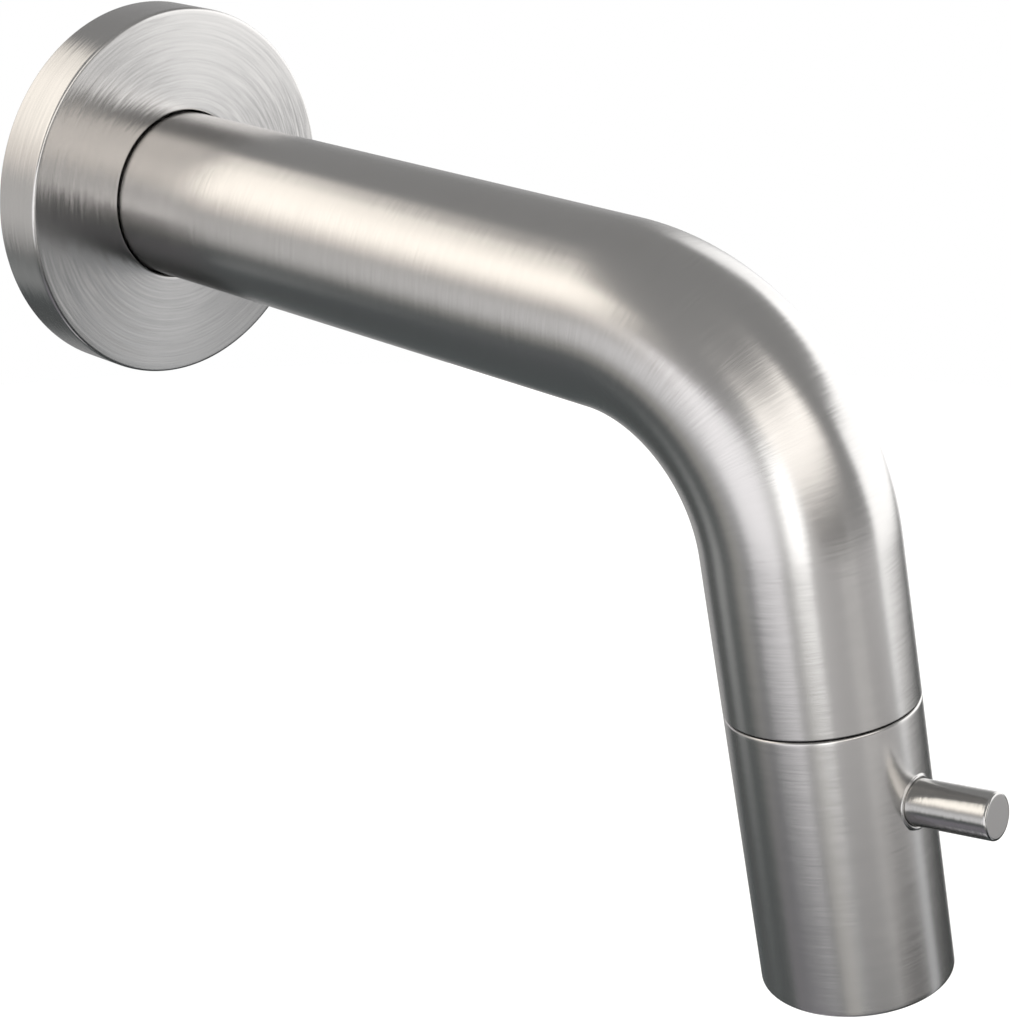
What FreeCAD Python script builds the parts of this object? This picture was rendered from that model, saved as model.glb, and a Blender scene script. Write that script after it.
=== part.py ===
import FreeCAD
import Part
import Sketcher
import math
import os
import re

# Wall-held basin tap with a turning outlet sleeve.
# Origin: centre of the rosette's back face, on the wall plane y = 0.
# -Y points out of the wall, +Z is up, x = 0 is the plane that the spout bends in.

# Driving sizes, in millimetres and degrees. Each one is a cell of the sheet.
SIZES = {
    # Spout tube
    "tube_radius": 12.5,
    "tube_wall": 1.5,
    "straight_run": 92.0,
    "bend_radius": 30.0,
    "bend_angle": 77.0,
    "lower_run": 21.0,
    "wall_gap": 0.8,
    "seam_gap": 0.4,
    "seam_chamfer": 0.3,
    # Clearances shared by the running and seated pairs
    "running_clearance": 0.05,
    "ring_clearance": 0.02,
    "face_clearance": 0.05,
    "seat_clearance": 0.4,
    "groove_play": 0.15,
    # Wall rosette, its gripping ring and its seal
    "rosette_radius": 28.0,
    "rosette_depth": 8.0,
    "rosette_wall": 2.0,
    "rosette_gap": 0.4,
    "rosette_edge": 0.5,
    "rosette_hole_edge": 0.2,
    "collar_wall": 3.0,
    "collar_depth": 3.5,
    "grip_ring_section": 0.9,
    "seal_width": 3.0,
    # Wall nipple
    "nipple_thread_radius": 10.48,
    "nipple_thread_length": 16.0,
    "nipple_chamfer": 1.0,
    "spigot_wall": 3.5,
    "spigot_length": 32.0,
    "nipple_ring_section": 1.0,
    "nipple_ring_first": 12.0,
    "nipple_ring_pitch": 5.5,
    "nipple_key_step": 0.5,
    "nipple_key_depth": 9.0,
    # Bush inside the wall end of the tube, with its locking screw
    "root_bush_wall": 1.95,
    "root_bush_length": 30.0,
    "root_bush_lead": 0.5,
    "screw_radius": 2.0,
    "screw_offset": 4.5,
    "screw_sink": 0.3,
    "screw_key_flat": 1.0,
    "screw_key_depth": 1.4,
    "screw_groove_depth": 0.8,
    "screw_hole_clearance": 0.2,
    # Holder inside the outlet end of the tube
    "holder_length": 17.0,
    "holder_shelf": 2.0,
    "holder_chamfer": 1.0,
    "neck_wall": 1.6,
    "neck_length": 4.0,
    "slip_wall": 1.35,
    "slip_flange_thickness": 0.3,
    "slip_flange_step": 0.6,
    # Ceramic cartridge
    "cartridge_wall": 1.55,
    "cartridge_collar_step": 0.2,
    "cartridge_collar_depth": 2.6,
    "disc_thickness": 2.5,
    "disc_clearance": 0.1,
    "seal_thickness": 2.0,
    "seal_ring_width": 0.85,
    "port_inner_radius": 1.5,
    "port_margin": 0.4,
    "port_angle": 76.0,
    "lug_depth": 0.8,
    "lug_height": 0.9,
    "lug_angle": 24.0,
    "lug_play_angle": 2.0,
    "rib_depth": 0.6,
    "washer_thickness": 1.0,
    # Hollow spindle
    "spindle_wall": 2.2,
    "spindle_flange_width": 1.1,
    "spindle_flange_thickness": 2.5,
    "spindle_cup_depth": 1.5,
    "spindle_flat_depth": 0.9,
    "spindle_ring_section": 0.6,
    "spindle_ring_first": 2.4,
    "spindle_ring_pitch": 4.0,
    "clip_thickness": 0.8,
    "clip_play": 0.15,
    "clip_depth": 0.55,
    "clip_stand": 1.6,
    "clip_opening": 60.0,
    # Quarter-turn stop
    "turn_range": 90.0,
    "stop_pin_radius": 0.8,
    "stop_circle_inset": 1.1,
    "stop_pin_depth": 3.0,
    "stop_slot_depth": 1.8,
    "stop_slot_reach": 1.1,
    "stop_margin": 0.1,
    # Control hub, sleeve and lever
    "hub_top_gap": 0.45,
    "hub_lead": 0.77,
    "hub_tail": 2.57,
    "hub_ring_section": 0.6,
    "hub_ring_offset": 1.5,
    "bore_ring_section": 0.55,
    "bore_ring_offset": 1.0,
    "hub_drive_start": 2.5,
    "sleeve_length": 37.8,
    "sleeve_wall": 1.5,
    "sleeve_edge": 0.4,
    "waist_wall": 2.9,
    "outlet_wall": 2.0,
    "lever_radius": 3.0,
    "lever_length": 10.75,
    "lever_sink": 0.8,
    "lever_edge": 0.35,
    "lever_hole_clearance": 0.08,
    "lever_hole_edge": 0.25,
    "lever_tap_depth": 6.0,
    "stud_radius": 2.0,
    "stud_insertion": 5.3,
    "stud_key_flat": 1.0,
    "stud_key_depth": 1.8,
    "dog_radius": 1.2,
    "dog_groove_depth": 0.7,
    "stud_thread_length": 3.5,
    # Recessed aerator
    "aerator_recess": 1.0,
    "aerator_thread_clearance": 0.08,
    "aerator_wall": 1.8,
    "aerator_lip": 0.8,
    "aerator_lip_width": 0.7,
    "aerator_key_width": 2.4,
    "aerator_key_depth": 1.2,
    "gasket_thickness": 1.5,
    "gasket_width": 2.8,
    "grid_thickness": 3.0,
    "grid_hole_radius": 0.55,
    "grid_ring_pitch": 1.5,
    "regulator_thickness": 3.0,
    "regulator_plate": 1.2,
    "regulator_rim": 0.8,
    "regulator_hole_radius": 0.5,
    "regulator_circle_radius": 5.6,
    "screen_gap": 0.15,
    "screen_thickness": 0.35,
    "screen_rise": 1.1,
    "screen_rim": 1.4,
}

# Sizes and levels that follow from the driving ones. Levels in the outlet are
# measured along the outlet axis from the seam, positive towards the mouth.
FOLLOWING = {
    "tube_bore": "tube_radius - tube_wall",
    "tube_end": "-seam_gap / 2",
    "sleeve_top": "seam_gap / 2",
    "screw_level": "wall_gap + screw_offset",
    "bush_bore": "tube_bore - root_bush_wall",
    "spigot_radius": "bush_bore - running_clearance",
    "nipple_bore_radius": "spigot_radius - spigot_wall",
    "nipple_key_flat": "nipple_bore_radius + nipple_key_step",
    "nipple_groove_bottom": "bush_bore - 2 * nipple_ring_section",
    "rosette_hole": "tube_radius + rosette_gap",
    "rosette_floor": "rosette_depth - rosette_wall",
    "collar_start": "rosette_floor - collar_depth",
    "collar_radius": "rosette_hole + collar_wall",
    "grip_ring_centre": "tube_radius + ring_clearance + grip_ring_section",
    "grip_ring_level": "rosette_floor - collar_depth / 2",
    "seal_outer": "rosette_radius - rosette_wall",
    "slip_ring_radius": "sleeve_bore - running_clearance",
    "neck_radius": "slip_ring_radius - slip_wall",
    "cartridge_radius": "neck_radius - neck_wall",
    "cartridge_collar_radius": "neck_radius - cartridge_collar_step",
    "shelf_level": "holder_shelf - holder_length",
    "cartridge_bore": "cartridge_radius - cartridge_wall",
    "disc_radius": "cartridge_bore - disc_clearance",
    "holder_inlet_radius": "disc_radius - seal_ring_width",
    "fixed_disc_level": "shelf_level + seal_thickness",
    "turning_disc_level": "fixed_disc_level + disc_thickness",
    "flange_level": "turning_disc_level + disc_thickness",
    "washer_level": "flange_level + spindle_flange_thickness + face_clearance",
    "shoulder_level": "washer_level + washer_thickness",
    "flange_radius": "disc_radius - running_clearance",
    "lug_inner_radius": "flange_radius - lug_depth",
    "spindle_radius": "flange_radius - spindle_flange_width",
    "spindle_bore_radius": "spindle_radius - spindle_wall",
    "spindle_flat": "spindle_radius - spindle_flat_depth",
    "port_outer_radius": "spindle_radius - port_margin",
    "guide_bore": "spindle_radius + running_clearance",
    "collar_end": "neck_length + cartridge_collar_depth",
    "spindle_groove_bottom": "guide_bore - 2 * spindle_ring_section",
    "spindle_ring_level": "shoulder_level + spindle_ring_first",
    "clip_level": "collar_end + clip_play",
    "clip_bore": "spindle_radius - clip_depth",
    "clip_radius": "spindle_radius + clip_stand",
    "hub_top": "clip_level + clip_thickness + hub_top_gap",
    "lever_hole": "lever_radius + lever_hole_clearance",
    "lever_drop": "hub_top + hub_lead + lever_hole",
    "hub_end": "lever_drop + lever_hole + hub_tail",
    "sleeve_bore": "tube_radius - sleeve_wall",
    "waist_bore": "tube_radius - waist_wall",
    "outlet_bore": "tube_radius - outlet_wall",
    "hub_ring_level": "hub_end - hub_ring_offset",
    "hub_groove_bottom": "sleeve_bore - 2 * hub_ring_section",
    "bore_ring_level": "hub_top + bore_ring_offset",
    "bore_groove_bottom": "spindle_radius + 2 * bore_ring_section",
    "drive_level": "hub_top + hub_drive_start",
    "stop_circle_radius": "cartridge_collar_radius - stop_circle_inset",
    "stop_slot_inner_radius": "stop_circle_radius - stop_slot_reach",
    "stop_slot_level": "collar_end - stop_slot_depth",
    "stop_pin_top": "stop_slot_level + stop_margin * 2",
    "lever_reach": "tube_radius + lever_length",
    "lever_seat": "sleeve_bore - lever_sink",
    "stud_end": "lever_seat + stud_insertion",
    "dog_start": "lever_seat - stud_thread_length",
    "dog_groove_bottom": "spindle_radius - dog_groove_depth",
    "dog_tip": "dog_groove_bottom + face_clearance",
    "dog_groove_half": "dog_radius + face_clearance",
    "aerator_radius": "outlet_bore - aerator_thread_clearance",
    "aerator_bore": "aerator_radius - aerator_wall",
    "aerator_end": "sleeve_length - aerator_recess",
    "lip_level": "aerator_end - aerator_lip",
    "lip_bore": "aerator_bore - aerator_lip_width",
    "grid_level": "lip_level - grid_thickness",
    "regulator_level": "grid_level - regulator_thickness",
    "screen_level": "regulator_level - screen_thickness",
    "gasket_end": "screen_level - screen_gap",
    "waist_end": "gasket_end - gasket_thickness",
    "insert_radius": "aerator_bore - face_clearance",
}

# Angles in degrees, and how many of each repeated form there are.
ALL_ROUND = 360
QUARTER_TURN = 90
KEY_SIDE_COUNT = 6
PORT_COUNT = 2
LUG_COUNT = 2
FLAT_COUNT = 2
NOTCH_COUNT = 4
JET_COUNT = 16
RING_COUNT = 4
RING_COUNT_STEP = 6

# An edge is found by its size and place to within NEAR, in millimetres. The rim of a
# hole across a tube is longer than a flat circle, by less than the share RIM_STRETCH.
NEAR = 0.01
RIM_STRETCH = 0.5


def bound(text):
    """Turn words such as 'tube_radius - tube_wall' into an expression on the sheet's cells."""
    def expand(match):
        word = match.group(0)
        if word in FOLLOWING:
            return "(" + bound(FOLLOWING[word]) + ")"
        if word in SIZES:
            return "Sizes." + word
        return word
    return re.sub(r"[a-z_]+", expand, text)


def make_sheet(document):
    """Write the driving sizes into the sheet, each with its own alias."""
    sheet = document.addObject("Spreadsheet::Sheet", "Sizes")
    for row, (alias, value) in enumerate(SIZES.items(), 1):
        sheet.set("A%d" % row, str(value))
        sheet.setAlias("A%d" % row, alias)
        sheet.set("B%d" % row, alias.replace("_", " "))
    document.recompute()
    return sheet


doc = FreeCAD.newDocument("BasinTap")
sizes = make_sheet(doc)


def size(alias):
    """Read one driving size from its cell."""
    return sizes.get(alias)


# Where a sub-part's own axes lie: local Z is the axis that it is turned about.

def place_in_room(body):
    """Local axes are the room's own."""
    body.Placement = FreeCAD.Placement()


def place_on_wall(body):
    """Local Z runs straight out of the wall and local Y runs up."""
    turn = FreeCAD.Rotation(FreeCAD.Vector(1, 0, 0), 90)
    body.Placement = FreeCAD.Placement(FreeCAD.Vector(0, 0, 0), turn)


def place_on_screw(body):
    """Local Z runs down from the tube's axis through the locking screw."""
    turn = FreeCAD.Rotation(FreeCAD.Vector(1, 0, 0), 180)
    body.Placement = FreeCAD.Placement(FreeCAD.Vector(0, 0, 0), turn)
    body.setExpression("Placement.Base.y", bound("-screw_level"))


def tie_to_outlet_axis(body, distance, turn):
    """Put the body on the outlet axis at a distance past the seam, turned about X."""
    body.Placement = FreeCAD.Placement(FreeCAD.Vector(0, 0, 0),
                                       FreeCAD.Rotation(FreeCAD.Vector(1, 0, 0), size("bend_angle")))
    leg = "(lower_run + " + distance + ")"
    out = "-(straight_run + bend_radius * sin(bend_angle) + " + leg + " * cos(bend_angle))"
    down = "-(bend_radius * (1 - cos(bend_angle)) + " + leg + " * sin(bend_angle))"
    body.setExpression("Placement.Base.y", bound(out))
    body.setExpression("Placement.Base.z", bound(down))
    body.setExpression("Placement.Rotation.Angle", bound(turn))


def place_on_outlet(body):
    """Local Z runs down the outlet axis from the seam, local Y away from the wall."""
    tie_to_outlet_axis(body, "0", "90 + bend_angle")


def place_on_lever(body):
    """Local Z runs out along the lever from the outlet axis."""
    tie_to_outlet_axis(body, "lever_drop", "bend_angle")


def new_body(label, place):
    """Start a sub-part with its own label and placement."""
    body = doc.addObject("PartDesign::Body", "Body_" + label)
    body.Label = label
    place(body)
    return body


def plane_of(body, role):
    """Find one of the body's own origin planes or axes by its role."""
    return [item for item in body.Origin.OriginFeatures if item.Role == role][0]


def new_sketch(body, name, role="XZ_Plane", offset=None):
    """Attach a sketch to one of the body's own planes, moved along its normal by offset."""
    sketch = body.newObject("Sketcher::SketchObject", name)
    sketch.AttachmentSupport = [(plane_of(body, role), "")]
    sketch.MapMode = "FlatFace"
    if offset:
        sketch.setExpression("AttachmentOffset.Base.z", bound(offset))
    return sketch


def tie_point(sketch, geometry, point, across, along, spot=FreeCAD.Vector(1, 1, 0)):
    """Fix a sketch point at two distances from the sketch's origin, starting from a spot."""
    for kind, text, value in (("DistanceX", across, spot.x), ("DistanceY", along, spot.y)):
        index = sketch.addConstraint(Sketcher.Constraint(kind, -1, 1, geometry, point, value))
        sketch.setExpression("Constraints[%d]" % index, bound(text))


def add_outline(sketch, corners):
    """Draw a closed outline through corners, each given as (across, along) in words."""
    count = len(corners)
    first = sketch.GeometryCount
    spots = [FreeCAD.Vector(math.cos(2 * math.pi * i / count), math.sin(2 * math.pi * i / count), 0)
             for i in range(count)]
    for i in range(count):
        sketch.addGeometry(Part.LineSegment(spots[i], spots[(i + 1) % count]), False)
    for i in range(count):
        sketch.addConstraint(Sketcher.Constraint("Coincident", first + i, 2, first + (i + 1) % count, 1))
    for i, (across, along) in enumerate(corners):
        tie_point(sketch, first + i, 1, across, along)


def add_box(sketch, low, high, start, end):
    """Draw a rectangle from low to high across and from start to end along."""
    add_outline(sketch, [(low, start), (high, start), (high, end), (low, end)])


def add_circle(sketch, across, along, radius):
    """Draw a circle with its centre and radius given in words."""
    circle = Part.Circle(FreeCAD.Vector(1, 1, 0), FreeCAD.Vector(0, 0, 1), 1.0)
    geometry = sketch.addGeometry(circle, False)
    tie_point(sketch, geometry, 3, across, along)
    index = sketch.addConstraint(Sketcher.Constraint("Radius", geometry, 1.0))
    sketch.setExpression("Constraints[%d]" % index, bound(radius))


def about_axis(body, kind, name, sketch, angle=None):
    """Turn a sketch about the body's Z axis, all round or centred over an angle."""
    feature = body.newObject("PartDesign::" + kind, name)
    feature.Profile = sketch
    feature.ReferenceAxis = (sketch, ["V_Axis"])
    feature.Angle = ALL_ROUND
    if angle:
        feature.Midplane = True
        feature.setExpression("Angle", bound(angle))
    return feature


def turned_body(label, place, corners):
    """Make a sub-part by turning one closed outline about its axis."""
    body = new_body(label, place)
    sketch = new_sketch(body, label + "_outline")
    add_outline(sketch, corners)
    about_axis(body, "Revolution", label + "_turned", sketch)
    return body


def cut_groove(body, name, inner, outer, level, half_width):
    """Turn a rectangular groove all round the body, centred on a level."""
    sketch = new_sketch(body, name + "_outline")
    add_box(sketch, inner, outer, level + " - (" + half_width + ")", level + " + " + half_width)
    return about_axis(body, "Groove", name, sketch)


def repeat_round(body, name, feature, count):
    """Repeat a feature evenly about the body's axis."""
    pattern = body.newObject("PartDesign::PolarPattern", name)
    pattern.Originals = [feature]
    pattern.Axis = (plane_of(body, "Z_Axis"), [""])
    pattern.Angle = ALL_ROUND
    pattern.Occurrences = count
    body.Tip = pattern
    return pattern


def sector(body, kind, name, limits, angle, count=1, turn=0):
    """Add or cut a block that spans an angle about the axis, repeated count times."""
    sketch = new_sketch(body, name + "_outline")
    if turn:
        sketch.AttachmentOffset = FreeCAD.Placement(FreeCAD.Vector(0, 0, 0),
                                                    FreeCAD.Rotation(FreeCAD.Vector(0, 1, 0), turn))
    add_box(sketch, *limits)
    feature = about_axis(body, kind, name, sketch, angle)
    if count > 1:
        repeat_round(body, name + "_set", feature, count)
    return feature


def straight(body, kind, name, sketch, length, midplane=False, reverse=False):
    """Add or cut a straight block over a sketch."""
    feature = body.newObject("PartDesign::" + kind, name)
    feature.Profile = sketch
    feature.Type = 0
    if midplane:
        feature.SideType = "Symmetric"
    feature.Reversed = reverse
    feature.setExpression("Length", bound(length))
    return feature


def radial_hole(body, name, radius, level, start, reach, reverse=False):
    """Drill square to the axis, from a distance start off it, over the length reach."""
    offset = start if reverse else "-(" + start + ")"
    sketch = new_sketch(body, name + "_circle", offset=offset)
    add_circle(sketch, "0", level, radius)
    return straight(body, "Pocket", name, sketch, reach, reverse=reverse)


def hex_socket(body, name, flat, level, depth, downward):
    """Broach a six-sided key socket into the face at a level."""
    sketch = new_sketch(body, name + "_hexagon", "XY_Plane", level)
    step = ALL_ROUND / KEY_SIDE_COUNT
    reach = "%s / cos(%g)" % (flat, step / 2)
    corners = [("%s * cos(%g)" % (reach, step * i), "%s * sin(%g)" % (reach, step * i))
               for i in range(KEY_SIDE_COUNT)]
    add_outline(sketch, corners)
    return straight(body, "Pocket", name, sketch, depth, reverse=not downward)


def turned_rings(label, place, rings):
    """Make round rubber rings from (centre radius, level, section radius)."""
    body = new_body(label, place)
    sketch = new_sketch(body, label + "_sections")
    for centre, level, section in rings:
        add_circle(sketch, centre, level, section)
    about_axis(body, "Revolution", label + "_turned", sketch)
    return body


def circle_edges(body, radius, level):
    """Names of the round edges of a given radius at a level on the body's axis."""
    names = []
    for number, edge in enumerate(body.Tip.Shape.Edges, 1):
        if not isinstance(edge.Curve, Part.Circle):
            continue
        same_radius = abs(edge.Curve.Radius - radius) < NEAR
        same_level = abs(edge.Curve.Center.z - level) < NEAR
        if same_radius and same_level:
            names.append("Edge%d" % number)
    return names


def break_edges(body, kind, name, edges, amount):
    """Round or chamfer the named edges of the body's last feature."""
    base = body.Tip
    feature = body.newObject("PartDesign::" + kind, name)
    feature.Base = (base, edges)
    feature.setExpression("Radius" if kind == "Fillet" else "Size", bound(amount))
    return feature


# Wall side: rosette, nipple, and the bush and screw that lock the spout on it.

def make_rosette():
    """Hollow-backed round cover with a collar that carries the gripping ring."""
    rosette = turned_body("wall_rosette", place_on_wall, [
        ("rosette_hole", "collar_start"),
        ("collar_radius", "collar_start"),
        ("collar_radius", "rosette_floor"),
        ("seal_outer", "rosette_floor"),
        ("seal_outer", "0"),
        ("rosette_radius", "0"),
        ("rosette_radius", "rosette_depth"),
        ("rosette_hole + rosette_hole_edge", "rosette_depth"),
        ("rosette_hole", "rosette_depth - rosette_hole_edge"),
    ])
    cut_groove(rosette, "grip_groove", "tube_radius", "grip_ring_centre + grip_ring_section",
               "grip_ring_level", "grip_ring_section + groove_play")
    doc.recompute()
    rim = circle_edges(rosette, size("rosette_radius"), size("rosette_depth"))
    break_edges(rosette, "Fillet", "rosette_front_edge", rim, "rosette_edge")
    turned_rings("rosette_oring", place_on_wall,
                 [("grip_ring_centre", "grip_ring_level", "grip_ring_section")])
    turned_body("rosette_wall_seal", place_on_wall, [
        ("seal_outer - seal_width", "0"),
        ("seal_outer", "0"),
        ("seal_outer", "rosette_floor"),
        ("seal_outer - seal_width", "rosette_floor"),
    ])


def make_nipple():
    """Threaded wall nipple with a smooth spigot, and its two rubber rings."""
    nipple = turned_body("wall_nipple", place_on_wall, [
        ("nipple_bore_radius", "-nipple_thread_length"),
        ("nipple_thread_radius - nipple_chamfer", "-nipple_thread_length"),
        ("nipple_thread_radius", "nipple_chamfer - nipple_thread_length"),
        ("nipple_thread_radius", "0"),
        ("spigot_radius", "0"),
        ("spigot_radius", "spigot_length - nipple_chamfer"),
        ("spigot_radius - nipple_chamfer", "spigot_length"),
        ("nipple_bore_radius", "spigot_length"),
    ])
    levels = ["nipple_ring_first", "(nipple_ring_first + nipple_ring_pitch)"]
    for number, level in enumerate(levels, 1):
        cut_groove(nipple, "nipple_ring_groove_%d" % number, "nipple_groove_bottom", "bush_bore",
                   level, "nipple_ring_section + groove_play")
    lock = new_sketch(nipple, "screw_groove_outline")
    add_outline(lock, [
        ("spigot_radius - screw_groove_depth", "screw_level"),
        ("spigot_radius + screw_groove_depth", "screw_level - 2 * screw_groove_depth"),
        ("spigot_radius + screw_groove_depth", "screw_level + 2 * screw_groove_depth"),
    ])
    about_axis(nipple, "Groove", "screw_groove", lock)
    hex_socket(nipple, "nipple_key", "nipple_key_flat", "spigot_length", "nipple_key_depth", True)
    turned_rings("nipple_orings", place_on_wall, [
        ("bush_bore - nipple_ring_section", level, "nipple_ring_section") for level in levels])


def make_root_bush():
    """Bush fixed inside the wall end of the spout, and the screw that locks it on the nipple."""
    bush = turned_body("spout_root_bush", place_on_wall, [
        ("bush_bore + root_bush_lead", "wall_gap"),
        ("tube_bore", "wall_gap"),
        ("tube_bore", "wall_gap + root_bush_length"),
        ("bush_bore", "wall_gap + root_bush_length"),
        ("bush_bore", "wall_gap + root_bush_lead"),
    ])
    radial_hole(bush, "screw_thread", "screw_radius", "screw_level", "0", "tube_radius", reverse=True)
    tip = "(spigot_radius - screw_groove_depth + face_clearance)"
    screw = turned_body("spout_grub_screw", place_on_screw, [
        ("0", tip),
        ("screw_radius", tip + " + screw_radius"),
        ("screw_radius", "tube_radius - screw_sink"),
        ("0", "tube_radius - screw_sink"),
    ])
    hex_socket(screw, "screw_key", "screw_key_flat", "tube_radius - screw_sink", "screw_key_depth", True)


# Spout tube: a straight run, one bend, and a short straight run to the seam.

def make_spout_tube():
    """Bent tube, swept along its centre line and drilled for the locking screw."""
    tube = new_body("spout_tube", place_in_room)
    route = new_sketch(tube, "tube_route", "YZ_Plane")
    radius = size("bend_radius")
    angle = math.radians(size("bend_angle"))
    run = -size("straight_run")
    start = FreeCAD.Vector(-size("wall_gap"), 0, 0)
    bend_start = FreeCAD.Vector(run, 0, 0)
    bend_end = FreeCAD.Vector(run - radius * math.sin(angle), -radius * (1 - math.cos(angle)), 0)
    slope = FreeCAD.Vector(math.cos(angle), math.sin(angle), 0)
    seam = bend_end - slope * (size("lower_run") - size("seam_gap") / 2)
    quarter = math.pi / 2
    bend = Part.Circle(FreeCAD.Vector(run, -radius, 0), FreeCAD.Vector(0, 0, 1), radius)
    upper = route.addGeometry(Part.LineSegment(start, bend_start), False)
    arc = route.addGeometry(Part.ArcOfCircle(bend, quarter, quarter + angle), False)
    lower = route.addGeometry(Part.LineSegment(bend_end, seam), False)
    route.addConstraint(Sketcher.Constraint("Coincident", upper, 2, arc, 1))
    route.addConstraint(Sketcher.Constraint("Coincident", lower, 1, arc, 2))
    bend_out = "straight_run + bend_radius * sin(bend_angle)"
    bend_down = "bend_radius * (1 - cos(bend_angle))"
    leg = "(lower_run + tube_end)"
    tie_point(route, upper, 1, "-wall_gap", "0", start)
    tie_point(route, upper, 2, "-straight_run", "0", bend_start)
    tie_point(route, lower, 1, "-(" + bend_out + ")", "-(" + bend_down + ")", bend_end)
    tie_point(route, lower, 2, "-(" + bend_out + " + " + leg + " * cos(bend_angle))",
              "-(" + bend_down + " + " + leg + " * sin(bend_angle))", seam)
    index = route.addConstraint(Sketcher.Constraint("Radius", arc, radius))
    route.setExpression("Constraints[%d]" % index, bound("bend_radius"))
    section = new_sketch(tube, "tube_section", offset="wall_gap")
    add_circle(section, "0", "0", "tube_radius")
    add_circle(section, "0", "0", "tube_bore")
    pipe = tube.newObject("PartDesign::AdditivePipe", "tube_sweep")
    pipe.Profile = section
    pipe.Spine = (route, ["Edge1", "Edge2", "Edge3"])
    hole = new_sketch(tube, "screw_hole_circle", "XY_Plane")
    add_circle(hole, "0", "-screw_level", "screw_radius + screw_hole_clearance")
    straight(tube, "Pocket", "screw_hole", hole, "2 * tube_radius")
    doc.recompute()
    break_edges(tube, "Chamfer", "tube_seam_chamfer", outer_end_edge(tube), "seam_chamfer")


def outer_end_edge(tube):
    """Name of the outer round edge at the tube's outlet end: the lowest of the full-radius ones."""
    reach = math.pi * size("tube_radius") * 2
    best = None
    for number, edge in enumerate(tube.Tip.Shape.Edges, 1):
        if abs(edge.Length - reach) > NEAR:
            continue
        if best is None or edge.CenterOfMass.z < best[0]:
            best = (edge.CenterOfMass.z, "Edge%d" % number)
    return [best[1]]


def make_holder():
    """Insert fixed in the outlet end of the tube, with the ring that the sleeve runs on."""
    turned_body("spout_end_holder", place_on_outlet, [
        ("holder_inlet_radius", "-holder_length"),
        ("tube_bore - holder_chamfer", "-holder_length"),
        ("tube_bore", "holder_chamfer - holder_length"),
        ("tube_bore", "tube_end"),
        ("neck_radius", "tube_end"),
        ("neck_radius", "neck_length"),
        ("cartridge_radius", "neck_length"),
        ("cartridge_radius", "shelf_level"),
        ("holder_inlet_radius", "shelf_level"),
    ])
    slip = "(tube_end + slip_flange_thickness)"
    turned_body("slip_ring", place_on_outlet, [
        ("neck_radius", "tube_end"),
        ("tube_radius - slip_flange_step", "tube_end"),
        ("tube_radius - slip_flange_step", slip),
        ("slip_ring_radius", slip),
        ("slip_ring_radius", "neck_length"),
        ("neck_radius", "neck_length"),
    ])


# Ceramic cartridge in the holder, and the hollow spindle that turns in it.

def make_cartridge():
    """Housing, inlet seal and fixed disc, which stay still, and the slip washer."""
    housing = turned_body("cartridge_housing", place_on_outlet, [
        ("cartridge_bore", "shelf_level + seat_clearance"),
        ("cartridge_radius", "shelf_level + seat_clearance"),
        ("cartridge_radius", "neck_length"),
        ("cartridge_collar_radius", "neck_length"),
        ("cartridge_collar_radius", "collar_end"),
        ("guide_bore", "collar_end"),
        ("guide_bore", "shoulder_level"),
        ("cartridge_bore", "shoulder_level"),
    ])
    sector(housing, "Revolution", "disc_rib",
           ("disc_radius - rib_depth", "cartridge_bore + cartridge_wall / 2",
            "fixed_disc_level", "turning_disc_level - face_clearance"), "lug_angle", LUG_COUNT)
    sector(housing, "Groove", "stop_slot",
           ("stop_slot_inner_radius", "cartridge_collar_radius + stop_margin",
            "stop_slot_level", "collar_end + stop_margin"),
           "turn_range * 1 deg + 2 * asin((stop_pin_radius + stop_margin) / stop_circle_radius)")
    turned_body("cartridge_seal", place_on_outlet, [
        ("holder_inlet_radius", "shelf_level"),
        ("disc_radius", "shelf_level"),
        ("disc_radius", "fixed_disc_level"),
        ("holder_inlet_radius", "fixed_disc_level"),
    ])
    fixed = make_disc("fixed_ceramic_disc", "fixed_disc_level", "turning_disc_level", "disc_radius",
                      QUARTER_TURN)
    sector(fixed, "Groove", "fixed_disc_notch",
           ("disc_radius - rib_depth - disc_clearance", "cartridge_bore",
            "fixed_disc_level - face_clearance", "turning_disc_level + face_clearance"),
           "lug_angle + lug_play_angle", LUG_COUNT)
    turned_body("spindle_washer", place_on_outlet, [
        ("guide_bore + face_clearance", "washer_level"),
        ("disc_radius", "washer_level"),
        ("disc_radius", "shoulder_level"),
        ("guide_bore + face_clearance", "shoulder_level"),
    ])


def make_disc(label, start, end, radius, turn):
    """Ceramic disc with two opposite ports, centred at an angle about the axis."""
    corners = [("0", start), (radius, start), (radius, end), ("0", end)]
    disc = turned_body(label, place_on_outlet, corners)
    sector(disc, "Groove", label + "_port",
           ("port_inner_radius", "port_outer_radius",
            start + " - face_clearance", end + " + face_clearance"), "port_angle", PORT_COUNT, turn)
    return disc


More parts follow.
